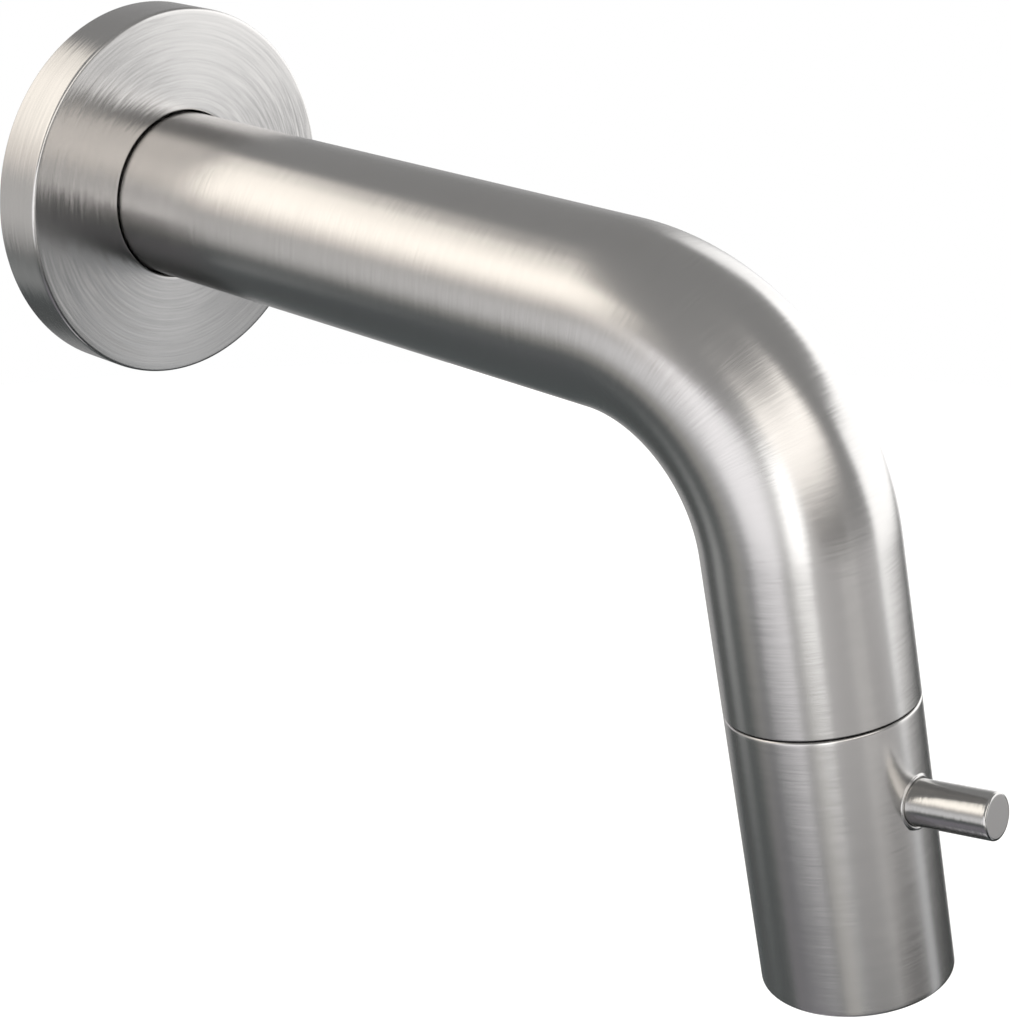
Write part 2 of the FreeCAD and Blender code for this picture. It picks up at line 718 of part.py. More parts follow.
def make_spindle():
    """Turning disc, hollow spindle with its lugs, rings, flats and retaining clip."""
    turning = make_disc("turning_ceramic_disc", "turning_disc_level + ring_clearance", "flange_level",
                        "flange_radius", 0)
    sector(turning, "Groove", "turning_disc_notch",
           ("lug_inner_radius - disc_clearance", "cartridge_bore",
            "flange_level - lug_height - face_clearance", "flange_level + face_clearance"),
           "lug_angle + lug_play_angle", LUG_COUNT, QUARTER_TURN)
    flange_end = "(washer_level - face_clearance)"
    cup_end = "(flange_level + spindle_cup_depth)"
    spindle = turned_body("hollow_spindle", place_on_outlet, [
        ("port_outer_radius", "flange_level"),
        ("flange_radius", "flange_level"),
        ("flange_radius", flange_end),
        ("spindle_radius", flange_end),
        ("spindle_radius", "hub_end"),
        ("spindle_bore_radius", "hub_end"),
        ("spindle_bore_radius", cup_end + " + port_outer_radius - spindle_bore_radius"),
        ("port_outer_radius", cup_end),
    ])
    levels = ["spindle_ring_level", "(spindle_ring_level + spindle_ring_pitch)"]
    for number, level in enumerate(levels, 1):
        cut_groove(spindle, "spindle_ring_groove_%d" % number, "spindle_groove_bottom", "guide_bore",
                   level, "spindle_ring_section + groove_play")
    cut_groove(spindle, "clip_groove", "clip_bore", "guide_bore",
               "(clip_level + clip_thickness / 2)", "clip_thickness / 2 + face_clearance")
    cut_groove(spindle, "dog_groove", "dog_groove_bottom", "guide_bore", "lever_drop", "dog_groove_half")
    sector(spindle, "Revolution", "spindle_lug",
           ("lug_inner_radius", "flange_radius", "flange_level - lug_height", cup_end), "lug_angle",
           LUG_COUNT, QUARTER_TURN)
    flats = new_sketch(spindle, "spindle_flat_outline")
    add_box(flats, "spindle_flat", "guide_bore", "drive_level - groove_play", "hub_end + groove_play")
    flat = straight(spindle, "Pocket", "spindle_flat_cut", flats, "2 * spindle_radius", midplane=True)
    repeat_round(spindle, "spindle_flats", flat, FLAT_COUNT)
    ring = "(spindle_ring_section - ring_clearance)"
    turned_rings("spindle_orings", place_on_outlet, [
        ("spindle_groove_bottom + " + ring, level, ring) for level in levels])
    clip = new_body("spindle_circlip", place_on_outlet)
    sector(clip, "Revolution", "clip_ring",
           ("clip_bore", "clip_radius", "clip_level", "clip_level + clip_thickness"),
           "%d - clip_opening" % ALL_ROUND)


# Turning sleeve with its hub, stop pin, lever and stud.

def make_hub():
    """Hub that joins the sleeve to the spindle, with its rings and the quarter-turn stop pin."""
    hub = turned_body("control_hub", place_on_outlet, [
        ("guide_bore", "hub_top"),
        ("sleeve_bore", "hub_top"),
        ("sleeve_bore", "hub_end"),
        ("guide_bore", "hub_end"),
    ])
    cut_groove(hub, "hub_bore_groove", "spindle_radius", "bore_groove_bottom",
               "bore_ring_level", "bore_ring_section + groove_play")
    cut_groove(hub, "hub_ring_groove", "hub_groove_bottom", "tube_radius",
               "hub_ring_level", "hub_ring_section + groove_play")
    key = new_sketch(hub, "hub_flat_outline")
    add_box(key, "spindle_flat + running_clearance", "guide_bore + groove_play",
            "drive_level", "hub_end")
    flat = straight(hub, "Pad", "hub_flat", key, "2 * spindle_radius", midplane=True)
    repeat_round(hub, "hub_flats", flat, FLAT_COUNT)
    radial_hole(hub, "stud_thread", "stud_radius", "lever_drop", "0", "tube_radius")
    radial_hole(hub, "lever_seat_face", "lever_hole", "lever_drop", "lever_seat", "tube_radius")
    across = "stop_circle_radius * cos(turn_range / 2)"
    along = "-stop_circle_radius * sin(turn_range / 2)"
    seat = new_sketch(hub, "stop_pin_seat_circle", "XY_Plane", "hub_top")
    add_circle(seat, across, along, "stop_pin_radius")
    straight(hub, "Pocket", "stop_pin_seat", seat, "stop_pin_depth", reverse=True)
    pin = new_body("stop_pin", place_on_outlet)
    section = new_sketch(pin, "stop_pin_circle", "XY_Plane", "stop_pin_top")
    add_circle(section, across, along, "stop_pin_radius")
    straight(pin, "Pad", "stop_pin_length", section, "hub_top + stop_pin_depth - stop_pin_top")
    turned_rings("hub_oring", place_on_outlet,
                 [("sleeve_bore - hub_ring_section", "hub_ring_level", "hub_ring_section")])
    turned_rings("spindle_hub_oring", place_on_outlet,
                 [("spindle_radius + bore_ring_section", "bore_ring_level", "bore_ring_section")])


def make_sleeve():
    """Turning sleeve that the user grips, bored in steps, with the lever's hole."""
    sleeve = turned_body("control_sleeve", place_on_outlet, [
        ("sleeve_bore", "sleeve_top"),
        ("tube_radius - seam_chamfer", "sleeve_top"),
        ("tube_radius", "sleeve_top + seam_chamfer"),
        ("tube_radius", "sleeve_length"),
        ("outlet_bore", "sleeve_length"),
        ("outlet_bore", "waist_end"),
        ("waist_bore", "waist_end"),
        ("waist_bore", "hub_end"),
        ("sleeve_bore", "hub_end"),
    ])
    doc.recompute()
    mouth = circle_edges(sleeve, size("tube_radius"), size("sleeve_length"))
    break_edges(sleeve, "Fillet", "sleeve_mouth_edge", mouth, "sleeve_edge")
    radial_hole(sleeve, "lever_hole_cut", "lever_hole", "lever_drop", "0", "2 * tube_radius")
    doc.recompute()
    break_edges(sleeve, "Chamfer", "lever_hole_chamfer", hole_edge(sleeve), "lever_hole_edge")


def hole_edge(sleeve):
    """Name of the lever hole's outer edge: the short edge that lies furthest out."""
    circle = 2 * math.pi * (size("lever_radius") + size("lever_hole_clearance"))
    longest = circle * (1 + RIM_STRETCH)
    best = None
    for number, edge in enumerate(sleeve.Tip.Shape.Edges, 1):
        if edge.Length > longest:
            continue
        if best is None or edge.CenterOfMass.y > best[0]:
            best = (edge.CenterOfMass.y, "Edge%d" % number)
    return [best[1]]


def make_lever():
    """Round lever pin and the stud that screws it to the hub and keys into the spindle."""
    pin = turned_body("lever_pin", place_on_lever, [
        ("stud_radius", "lever_seat"),
        ("lever_radius", "lever_seat"),
        ("lever_radius", "lever_reach"),
        ("0", "lever_reach"),
        ("0", "lever_seat + lever_tap_depth + stud_radius / 2"),
        ("stud_radius", "lever_seat + lever_tap_depth"),
    ])
    doc.recompute()
    reach = size("tube_radius") + size("lever_length")
    tip = circle_edges(pin, size("lever_radius"), reach)
    break_edges(pin, "Fillet", "lever_tip_edge", tip, "lever_edge")
    stud = turned_body("lever_stud", place_on_lever, [
        ("0", "dog_tip"),
        ("dog_radius", "dog_tip"),
        ("dog_radius", "dog_start"),
        ("stud_radius", "dog_start"),
        ("stud_radius", "stud_end"),
        ("0", "stud_end"),
    ])
    hex_socket(stud, "stud_key", "stud_key_flat", "stud_end", "stud_key_depth", True)


# Recessed aerator: gasket, screen, regulator and outlet grid in a screwed housing.

def make_aerator():
    """Aerator pieces, stacked in the sleeve's mouth from the waist outwards."""
    turned_body("aerator_gasket", place_on_outlet, [
        ("aerator_radius - gasket_width", "waist_end"),
        ("aerator_radius", "waist_end"),
        ("aerator_radius", "gasket_end"),
        ("aerator_radius - gasket_width", "gasket_end"),
    ])
    housing = turned_body("aerator_housing", place_on_outlet, [
        ("aerator_bore", "gasket_end"),
        ("aerator_radius", "gasket_end"),
        ("aerator_radius", "aerator_end"),
        ("lip_bore", "aerator_end"),
        ("lip_bore", "lip_level"),
        ("aerator_bore", "lip_level"),
    ])
    notch = new_sketch(housing, "key_notch_outline")
    add_box(notch, "lip_bore - aerator_lip_width", "aerator_radius - aerator_lip_width",
            "aerator_end - aerator_key_depth", "aerator_end + aerator_recess")
    cut = straight(housing, "Pocket", "key_notch", notch, "aerator_key_width", midplane=True)
    repeat_round(housing, "key_notches", cut, NOTCH_COUNT)
    make_screen()
    make_regulator()
    make_grid()


def make_screen():
    """Thin strainer with a flat rim and a raised middle."""
    rim = "(insert_radius - screen_rim)"
    top = "(insert_radius - screen_rim - screen_rise)"
    turned_body("aerator_screen", place_on_outlet, [
        ("0", "screen_level - screen_rise"),
        (top, "screen_level - screen_rise"),
        (rim, "screen_level"),
        ("insert_radius", "screen_level"),
        ("insert_radius", "regulator_level"),
        (rim, "regulator_level"),
        (top, "regulator_level - screen_rise"),
        ("0", "regulator_level - screen_rise"),
    ])


def make_regulator():
    """Plate with a ring of jets and a rim that keeps it off the outlet grid."""
    plate_end = "(regulator_level + regulator_plate)"
    plate = turned_body("aerator_regulator", place_on_outlet, [
        ("0", "regulator_level"),
        ("insert_radius", "regulator_level"),
        ("insert_radius", "grid_level"),
        ("insert_radius - regulator_rim", "grid_level"),
        ("insert_radius - regulator_rim", plate_end),
        ("0", plate_end),
    ])
    drill_ring(plate, "regulator_jet", "regulator_circle_radius", "regulator_hole_radius",
               "regulator_level", "regulator_plate", JET_COUNT)


def make_grid():
    """Outlet grid with rings of straight holes that even out the stream."""
    grid = turned_body("aerator_grid", place_on_outlet, [
        ("0", "grid_level"), ("insert_radius", "grid_level"),
        ("insert_radius", "lip_level"), ("0", "lip_level"),
    ])
    centre = new_sketch(grid, "grid_centre_circle", "XY_Plane", "grid_level")
    add_circle(centre, "0", "0", "grid_hole_radius")
    straight(grid, "Pocket", "grid_centre", centre, "grid_thickness", reverse=True)
    for ring in range(1, RING_COUNT + 1):
        drill_ring(grid, "grid_ring_%d" % ring, "grid_ring_pitch * %d" % ring, "grid_hole_radius",
                   "grid_level", "grid_thickness", RING_COUNT_STEP * ring)


def drill_ring(body, name, circle, radius, level, depth, count):
    """Drill holes evenly round a circle, towards the mouth."""
    sketch = new_sketch(body, name + "_circle", "XY_Plane", level)
    add_circle(sketch, circle, "0", radius)
    hole = straight(body, "Pocket", name, sketch, depth, reverse=True)
    repeat_round(body, name + "_set", hole, count)


def faulty(item):
    """Whether an object failed to compute."""
    return any(word in state for state in item.State for word in ("Invalid", "Error"))


def write_parts():
    """Check every object and every sub-part, then write one file for each sub-part."""
    doc.recompute()
    failed = [item.Name for item in doc.Objects if faulty(item)]
    if failed:
        raise RuntimeError("failed objects: " + ", ".join(failed))
    bodies = [item for item in doc.Objects if item.TypeId == "PartDesign::Body"]
    for body in bodies:
        if body.Shape.isNull() or not body.Shape.isValid():
            raise RuntimeError("no sound shape: " + body.Label)
    os.makedirs("parts", exist_ok=True)
    for body in bodies:
        body.Shape.exportStep(os.path.join("parts", body.Label + ".step"))
        print("%-22s %8.1f mm3, %d solid(s)" % (body.Label, body.Shape.Volume, len(body.Shape.Solids)))


make_rosette()
make_nipple()
make_root_bush()
make_spout_tube()
make_holder()
make_cartridge()
make_spindle()
make_hub()
make_sleeve()
make_lever()
make_aerator()
write_parts()
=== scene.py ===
"""Looks of a wall-held basin tap in brushed stainless steel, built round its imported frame.

The steel that shows is made here as smooth surfaces: each is a closed outline of levels and
radii carried along the tap's centre line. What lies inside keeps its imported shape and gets
the finish of its real material. Lengths are metres, angles are radians unless a name says
degrees, and every place is in the frame's own axes.
"""

import logging
import math
from collections.abc import Callable, Sequence
from dataclasses import dataclass
from enum import Enum

import bmesh
import bpy
import numpy as np
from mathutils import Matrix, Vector


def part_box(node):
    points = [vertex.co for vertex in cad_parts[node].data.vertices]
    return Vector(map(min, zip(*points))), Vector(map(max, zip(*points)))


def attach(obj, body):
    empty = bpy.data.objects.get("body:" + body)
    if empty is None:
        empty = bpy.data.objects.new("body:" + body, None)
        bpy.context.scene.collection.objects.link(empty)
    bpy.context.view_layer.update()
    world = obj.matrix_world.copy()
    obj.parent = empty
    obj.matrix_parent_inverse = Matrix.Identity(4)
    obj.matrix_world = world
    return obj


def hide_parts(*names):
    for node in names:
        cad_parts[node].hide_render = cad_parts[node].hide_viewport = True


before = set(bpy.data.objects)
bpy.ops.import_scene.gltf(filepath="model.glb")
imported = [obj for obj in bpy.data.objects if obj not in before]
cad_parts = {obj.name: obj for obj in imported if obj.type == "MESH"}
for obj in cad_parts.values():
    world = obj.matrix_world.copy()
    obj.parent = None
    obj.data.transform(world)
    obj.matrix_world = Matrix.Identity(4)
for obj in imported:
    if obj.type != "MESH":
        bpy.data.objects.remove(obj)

logging.basicConfig(level=logging.INFO, format="%(message)s")
log = logging.getLogger("basin_tap")

Tree = bpy.types.NodeTree
Socket = bpy.types.NodeSocket
Object = bpy.types.Object
Material = bpy.types.Material
Array = np.ndarray

MM = 0.001
FULL_TURN = 2 * math.pi

# The spout's centre line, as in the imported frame: out of the wall, round one bend, and on
# to the seam between the tube and the sleeve.
FIRST_RUN = 92.0 * MM
BEND_RADIUS = 30.0 * MM
BEND_ANGLE = math.radians(77.0)
RUN_TO_SEAM = 21.0 * MM

# Sizes that more than one piece has.
TUBE_WALL = 1.5 * MM
SEAM_GAP = 0.4 * MM
SCREW_LEVEL = 5.3 * MM
SMALL_EDGE = 0.1 * MM

# Names of the mesh layers that the brushed finishes read.
BRUSH = "brush"
GRAIN = "grain"

# Points nearer than this are the same point, and a side that is longer than a whole number
# of steps by less than this share of a step gets no further part.
SAME_POINT = 1e-7
STEP_SLACK = 1e-6
# Parts of an eased corner, rings between a drilled patch's edge and its hole, and parts of
# the hole's rounded rim.
EASE_STEPS = 6
PATCH_RINGS = 8
RIM_STEPS = 12


def linear(hex_colour: str) -> tuple[float, float, float, float]:
    """Turn six sRGB hex digits into the linear colour, with alpha, of a shader socket."""
    parts = [int(hex_colour[i:i + 2], 16) / 255 for i in (0, 2, 4)]
    low = [part / 12.92 for part in parts]
    high = [((part + 0.055) / 1.055) ** 2.4 for part in parts]
    return (*(a if part <= 0.04045 else b for part, a, b in zip(parts, low, high)), 1.0)


@dataclass(frozen=True)
class Route:
    """A centre line: a straight run, one bend, and a straight run again.

    A straight route has a bend of no angle. Its section axes are `across`, which stays the
    same, and `outer`, which points away from the centre of the bend.
    """

    origin: tuple[float, float, float]
    heading: tuple[float, float, float]
    outer: tuple[float, float, float]
    run: float = 0.0
    bend_radius: float = 0.0
    bend_angle: float = 0.0

    def turned(self, swing: Array) -> tuple[Array, Array]:
        """Heading and outer axis after each angle of the bend, turned in its plane."""
        ahead = np.array(self.heading)
        outer = np.array(self.outer)
        cos, sin = np.cos(swing)[..., None], np.sin(swing)[..., None]
        return cos * ahead - sin * outer, sin * ahead + cos * outer

    def frames(self, level: Array) -> tuple[Array, Array]:
        """Centre points and outer axes at levels along the line.

        A level is a length along the line. Its centre is the first run, plus the chord of
        the bend so far, plus what is left of the level along the new heading.

        Args:
            level: levels, in metres.

        Returns:
            Centre points and outer axes, each with one more axis than `level`.
        """
        arc = self.bend_radius * self.bend_angle
        swing = np.zeros_like(level)
        if arc > 0:
            swing = np.clip((level - self.run) / self.bend_radius, 0, self.bend_angle)
        first = np.where(level < self.run, level, self.run)
        last = level - first - self.bend_radius * swing
        ahead, outer = self.turned(swing)
        base_ahead, base_outer = np.array(self.heading), np.array(self.outer)
        chord = (np.sin(swing)[..., None] * base_ahead
                 - (1 - np.cos(swing))[..., None] * base_outer) * self.bend_radius
        centre = np.array(self.origin) + first[..., None] * base_ahead + chord
        return centre + last[..., None] * ahead, outer

    def points(self, level: Array, angle: Array, radius: Array) -> Array:
        """Points at levels, angles from the across towards the outer axis, and radii."""
        level, angle, radius = np.broadcast_arrays(level, angle, radius)
        centre, outer = self.frames(level)
        across = np.cross(self.heading, self.outer)
        spoke = np.cos(angle)[..., None] * across + np.sin(angle)[..., None] * outer
        return centre + radius[..., None] * spoke

    def end(self, level: float) -> "Route":
        """A straight route that starts at a level of this one and follows its heading."""
        at = np.array([level])
        centre, outer = self.frames(at)
        ahead = np.cross(outer[0], np.cross(self.heading, self.outer))
        return Route(tuple(centre[0]), tuple(ahead), tuple(outer[0]))


@dataclass(frozen=True)
class Corner:
    """A corner of an outline: its level and radius, and how far back its edge is eased."""

    level: float
    radius: float
    ease: float


@dataclass(frozen=True)
class Drilling:
    """A round hole drilled square through a wall.

    Attributes:
        level: where its axis crosses the route.
        angle: its angle round the route.
        radius: radius of the hole.
        edge: width of the rounded rim on the outer wall.
        lift: how high that rim stands, or below 0 how far it is rounded down.
        reach: half the side of the square patch of wall that is redrawn round it.
    """

    level: float
    angle: float
    radius: float
    edge: float
    lift: float
    reach: float

    def span(self) -> tuple[float, float]:
        """Levels where the redrawn patch starts and ends."""
        return self.level - self.reach, self.level + self.reach


def eased_outline(corners: Sequence[Corner], step: float, closed: bool) -> Array:
    """Draw an outline through corners, easing each along a parabola.

    A corner p with easing e becomes (1-k)^2 a + 2k(1-k) p + k^2 b for k from 0 to 1, where
    a and b lie e before and after p. One more point lies e outside a and b, so that the
    shading of the flat sides stays flat. Sides longer than `step` are then divided evenly.

    Args:
        corners: the outline's corners in order.
        step: longest side that is left whole.
        closed: whether the last corner joins the first.

    Returns:
        An array of (level, radius) rows.
    """
    spots = np.array([(c.level, c.radius) for c in corners])
    ease = np.array([c.ease for c in corners])[:, None]
    before, after = np.roll(spots, 1, axis=0) - spots, np.roll(spots, -1, axis=0) - spots
    if not closed:
        before[0], after[-1] = after[0], before[-1]
        ease[[0, -1]] = 0
    before /= np.linalg.norm(before, axis=1)[:, None]
    after /= np.linalg.norm(after, axis=1)[:, None]
    k = np.linspace(0, 1, EASE_STEPS + 1)[None, :, None]
    a, b = (spots + before * ease)[:, None], (spots + after * ease)[:, None]
    curve = (1 - k) ** 2 * a + 2 * k * (1 - k) * spots[:, None] + k ** 2 * b
    lead, tail = (spots + 2 * before * ease)[:, None], (spots + 2 * after * ease)[:, None]
    line = np.concatenate([lead, curve, tail], axis=1).reshape(-1, 2)
    return divided(line, step, closed)


def divided(line: Array, step: float, closed: bool) -> Array:
    """Drop doubled points of a line and divide its long sides evenly.

    Args:
        line: (level, radius) rows.
        step: longest side that is left whole.
        closed: whether the last row joins the first.

    Returns:
        The new rows.
    """
    if closed:
        line = np.vstack([line, line[:1]])
    gap = np.linalg.norm(np.diff(line, axis=0), axis=1)
    line = line[np.append(gap > SAME_POINT, True)]
    gap = np.linalg.norm(np.diff(line, axis=0), axis=1)
    parts = np.maximum(1, np.ceil(gap / step - STEP_SLACK)).astype(int)
    side = np.repeat(np.arange(len(parts)), parts)
    first = np.repeat(np.cumsum(parts) - parts, parts)
    share = (np.arange(len(side)) - first) / parts[side]
    rows = line[side] + share[:, None] * (line[side + 1] - line[side])
    return rows if closed else np.vstack([rows, line[-1:]])


class Skin:
    """Points and faces of one surface, each point with its angle and outline length."""

    def __init__(self) -> None:
        """Start with no points and no faces."""
        self.places: list[Array] = []
        self.marks: list[Array] = []
        self.quads: list[Array] = []
        self.fans: list[Array] = []
        self.count = 0

    def add_points(self, places: Array, angle: Array, path: Array) -> Array:
        """Add points with their angle and outline length, and give back their numbers."""
        angle, path = np.broadcast_arrays(angle, path)
        self.places.append(places.reshape(-1, 3))
        self.marks.append(np.stack([angle, path], axis=-1).reshape(-1, 2))
        numbers = np.arange(self.count, self.count + angle.size).reshape(angle.shape)
        self.count += angle.size
        return numbers

    def join(self, first: Array, second: Array) -> None:
        """Join two rings of points of the same length with quads, all the way round."""
        corners = [first, np.roll(first, -1), np.roll(second, -1), second]
        self.quads.append(np.stack(corners, axis=-1).reshape(-1, 4))

    def close(self, ring: Array, pole: int) -> None:
        """Close a ring of points with a fan of triangles to one point."""
        poles = np.full_like(ring, pole)
        self.fans.append(np.stack([ring, np.roll(ring, -1), poles], axis=-1))

    def make(self, name: str, reference: float) -> Object:
        """Put the surface into a mesh with its coordinates for the finishes.

        The UV map has the outline's length along U and the angle along V, so that a
        tangent taken from it runs along the outline. The attribute `brush` holds, in
        millimetres, the outline's length and a circle of the reference radius, which has
        no seam where the angle starts again.

        Args:
            name: the piece's name.
            reference: radius of the circle that the angle is laid out on.

        Returns:
            The new object, at the origin.
        """
        places, marks = np.concatenate(self.places), np.concatenate(self.marks)
        quads = np.concatenate(self.quads)
        fans = np.concatenate(self.fans) if self.fans else np.zeros((0, 3), int)
        loops = np.concatenate([quads.ravel(), fans.ravel()])
        totals = np.concatenate([np.full(len(quads), 4), np.full(len(fans), 3)])
        mesh = bpy.data.meshes.new(name)
        mesh.vertices.add(len(places))
        mesh.vertices.foreach_set("co", places.astype(np.float32).ravel())
        mesh.loops.add(len(loops))
        mesh.loops.foreach_set("vertex_index", loops.astype(np.int32))
        mesh.polygons.add(len(totals))
        starts = np.cumsum(totals) - totals
        mesh.polygons.foreach_set("loop_start", starts.astype(np.int32))
        mesh.polygons.foreach_set("use_smooth", np.ones(len(totals), bool))
        mesh.update(calc_edges=True)
        uv = mesh.uv_layers.new(name=GRAIN)
        uv.data.foreach_set("uv", self.grain(marks, quads, fans, reference).ravel())
        angle, path = marks.T
        circle = [np.cos(angle) * (reference / MM), np.sin(angle) * (reference / MM)]
        brushed = np.column_stack([path / MM, *circle]).astype(np.float32)
        brush = mesh.attributes.new(BRUSH, "FLOAT_VECTOR", "POINT")
        brush.data.foreach_set("vector", brushed.ravel())
        turn_outwards(mesh)
        made = bpy.data.objects.new(name, mesh)
        bpy.context.scene.collection.objects.link(made)
        return made

    @staticmethod
    def grain(marks: Array, quads: Array, fans: Array, reference: float) -> Array:
        """UV of each face corner, with the angle carried on past a full turn at the seam.

        Args:
            marks: angle and outline length of each point.
            quads: point numbers of the four-sided faces.
            fans: point numbers of the triangles, pole last.
            reference: radius of the circle that the angle is laid out on.

        Returns:
            (U, V) rows, in the order of the faces' corners.
        """
        rows = []
        for faces in (quads, fans):
            angle, path = marks[faces, 0].copy(), marks[faces, 1]
            rim = angle[:, :2] if faces.shape[1] == 3 else angle
            crossing = np.ptp(rim, axis=1) > math.pi
            angle[crossing[:, None] & (angle < math.pi)] += FULL_TURN
            if faces.shape[1] == 3:
                angle[:, 2] = angle[:, :2].mean(axis=1)
            corner = np.stack([path / (FULL_TURN * reference), angle / FULL_TURN], axis=-1)
            rows.append(corner.reshape(-1, 2))
        return np.concatenate(rows).astype(np.float32)


def turn_outwards(mesh: bpy.types.Mesh) -> None:
    """Point the faces of a closed mesh outwards."""
    work = bmesh.new()
    work.from_mesh(mesh)
    bmesh.ops.recalc_face_normals(work, faces=work.faces)
    work.to_mesh(mesh)
    work.free()


@dataclass
class Sweep:
    """Carries an outline of levels and radii round and along a route.

    Attributes:
        route: the centre line.
        columns: how many points go round it.
        step: longest side of the outline that is left whole.
        reference: radius that the finishes lay the angle out on.
    """

    route: Route
    columns: int
    step: float
    reference: float

    def angles(self) -> Array:
        """Angles of the columns."""
        return np.arange(self.columns) / self.columns * FULL_TURN

    def tube(self, name: str, corners: Sequence[Corner], drilling: Drilling | None = None,
             shaped: Callable[[Array, Array], Array] | None = None) -> Object:
        """Make a ring-like piece: a closed outline that stays clear of the axis.

        Args:
            name: the piece's name.
            corners: the outline, the outer wall first, from its low level to its high one.
            drilling: a hole through the wall, or nothing.
            shaped: changes the radii, given the outline's rows and the angles.

        Returns:
            The new object.
        """
        rows = eased_outline(corners, self.step, True)
        path = run_length(rows)
        angle = self.angles()[None, :]
        radius = np.repeat(rows[:, 1:], self.columns, axis=1)
        if shaped is not None:
            radius = shaped(rows, angle)
        skin = Skin()
        places = self.route.points(rows[:, :1], angle, radius)
        grid = skin.add_points(places, angle, path[:, None])
        cells = grid_cells(grid)
        if drilling is not None:
            kept = self.drill(skin, drilling, rows, grid, path)
            cells = cells[kept]
        skin.quads.append(cells.reshape(-1, 4))
        return skin.make(name, self.reference)

    def plug(self, name: str, corners: Sequence[Corner]) -> Object:
        """Make a solid piece: an open outline that starts and ends on the axis.

        Args:
            name: the piece's name.
            corners: the outline, its first and last corner on the axis.

        Returns:
            The new object.
        """
        rows = eased_outline(corners, self.step, False)
        path = run_length(rows)
        angle = self.angles()[None, :]
        skin = Skin()
        body = rows[1:-1]
        places = self.route.points(body[:, :1], angle, body[:, 1:])
        grid = skin.add_points(places, angle, path[1:-1, None])
        for ring, end in ((grid[0], 0), (grid[-1], -1)):
            pole = skin.add_points(self.route.points(rows[end, 0], 0.0, 0.0),
                                   np.zeros(1), path[end:end + 1 or None])
            skin.close(ring, int(pole[0]))
        skin.quads.append(grid_cells(grid)[:-1].reshape(-1, 4))
        return skin.make(name, self.reference)

    def drill(self, skin: Skin, hole: Drilling, rows: Array, grid: Array,
              path: Array) -> Array:
        """Redraw a square of the outer and the inner wall round a hole, and its own wall.

        Each square becomes rings that go from its edge to the hole's circle in even steps,
        P = (1-t) edge + t circle, laid on the wall's cylinder. The outer rim is a low bead:
        over half a turn q its radius falls by (1 - cos q) / 2 of its width while its height
        is the lift times sin q. Its last ring joins the inner wall's circle.

        Args:
            skin: the surface, which already holds the grid.
            hole: the hole.
            rows: (level, radius) of the outline.
            grid: point numbers, a row for each row of the outline.
            path: outline length at each row.

        Returns:
            Which cells of the grid stay, as a mask over rows and columns.
        """
        kept = np.ones(grid.shape, bool)
        half_angle = hole.reach / self.reference
        first, last = np.searchsorted(self.angles(), [hole.angle - half_angle,
                                                      hole.angle + half_angle])
        near = np.abs(rows[:, 0] - hole.level) < hole.reach + SAME_POINT
        outside = rows[:, 1] > self.reference - SAME_POINT
        walls = [np.flatnonzero(near & outside), np.flatnonzero(near & ~outside)[::-1]]
        rims = []
        for wall, edge in zip(walls, (hole.edge, 0.0)):
            kept[wall.min():wall.max(), first:last] = False
            loop_rows, loop_columns = square_loop(wall, np.arange(first, last + 1))
            wall_radius = rows[wall[0], 1]
            ring = grid[loop_rows, loop_columns]
            across = wall_radius * np.sin(self.angles()[loop_columns] - hole.angle)
            along = rows[loop_rows, 0] - hole.level
            turn = np.arctan2(along, across)
            slope = np.sign(path[wall[-1]] - path[wall[0]])
            base = path[wall].min() if slope > 0 else path[wall].max()
            start = rows[wall[0], 0]
            round_hole = np.array([np.cos(turn), np.sin(turn)])
            circle = (hole.radius + edge) * round_hole
            steps = [((1 - t) * np.array([across, along]) + t * circle, 0.0)
                     for t in np.linspace(0, 1, PATCH_RINGS + 1)[1:]]
            if edge:
                steps += [((hole.radius + edge * (1 + math.cos(q)) / 2) * round_hole,
                           -hole.lift * math.sin(q))
                          for q in np.linspace(0, math.pi, RIM_STEPS + 1)[1:]]
            for (x, v), sunk in steps:
                spread = np.arcsin(x / wall_radius)
                height = np.sqrt(wall_radius ** 2 - x ** 2) - sunk
                angle = hole.angle + np.arctan2(x, height)
                places = self.route.points(hole.level + v, angle, np.hypot(x, height))
                mark = base + slope * (hole.level + v - start)
                new = skin.add_points(places, hole.angle + spread, mark)
                skin.join(ring, new)
                ring = new
            rims.append(ring)
        skin.join(rims[0], rims[1])
        return kept


def square_loop(rows: Array, columns: Array) -> tuple[Array, Array]:
    """Row and column of each point round the edge of a block of a grid, in order."""
    high, wide = len(rows) - 1, len(columns) - 1
    loop_rows = [np.full(wide, rows[0]), rows[:-1], np.full(wide, rows[-1]), rows[:0:-1]]
    loop_columns = [columns[:-1], np.full(high, columns[-1]), columns[:0:-1],
                    np.full(high, columns[0])]
    return np.concatenate(loop_rows), np.concatenate(loop_columns)


def run_length(rows: Array) -> Array:
    """Length along an outline at each of its rows."""
    return np.append(0, np.cumsum(np.linalg.norm(np.diff(rows, axis=0), axis=1)))


def grid_cells(grid: Array) -> Array:
    """Point numbers of the four corners of each cell, wrapping round both ways."""
    down = np.roll(grid, -1, axis=0)
    right, both = np.roll(grid, -1, axis=1), np.roll(down, -1, axis=1)
    return np.stack([grid, right, both, down], axis=-1)


def add_node(tree: Tree, kind: str, links: dict | None = None,
             **settings: object) -> bpy.types.Node:
    """Add a node with its settings and links.

    Args:
        tree: the node tree.
        kind: the node's type name, without ShaderNode before it.
        links: input name or number to the socket that feeds it, or to a plain value.
        settings: the node's own properties.

    Returns:
        The new node.
    """
    made = tree.nodes.new("ShaderNode" + kind)
    for name, value in settings.items():
        setattr(made, name, value)
    for name, value in (links or {}).items():
        if isinstance(value, Socket):
            tree.links.new(value, made.inputs[name])
        else:
            made.inputs[name].default_value = value
    return made


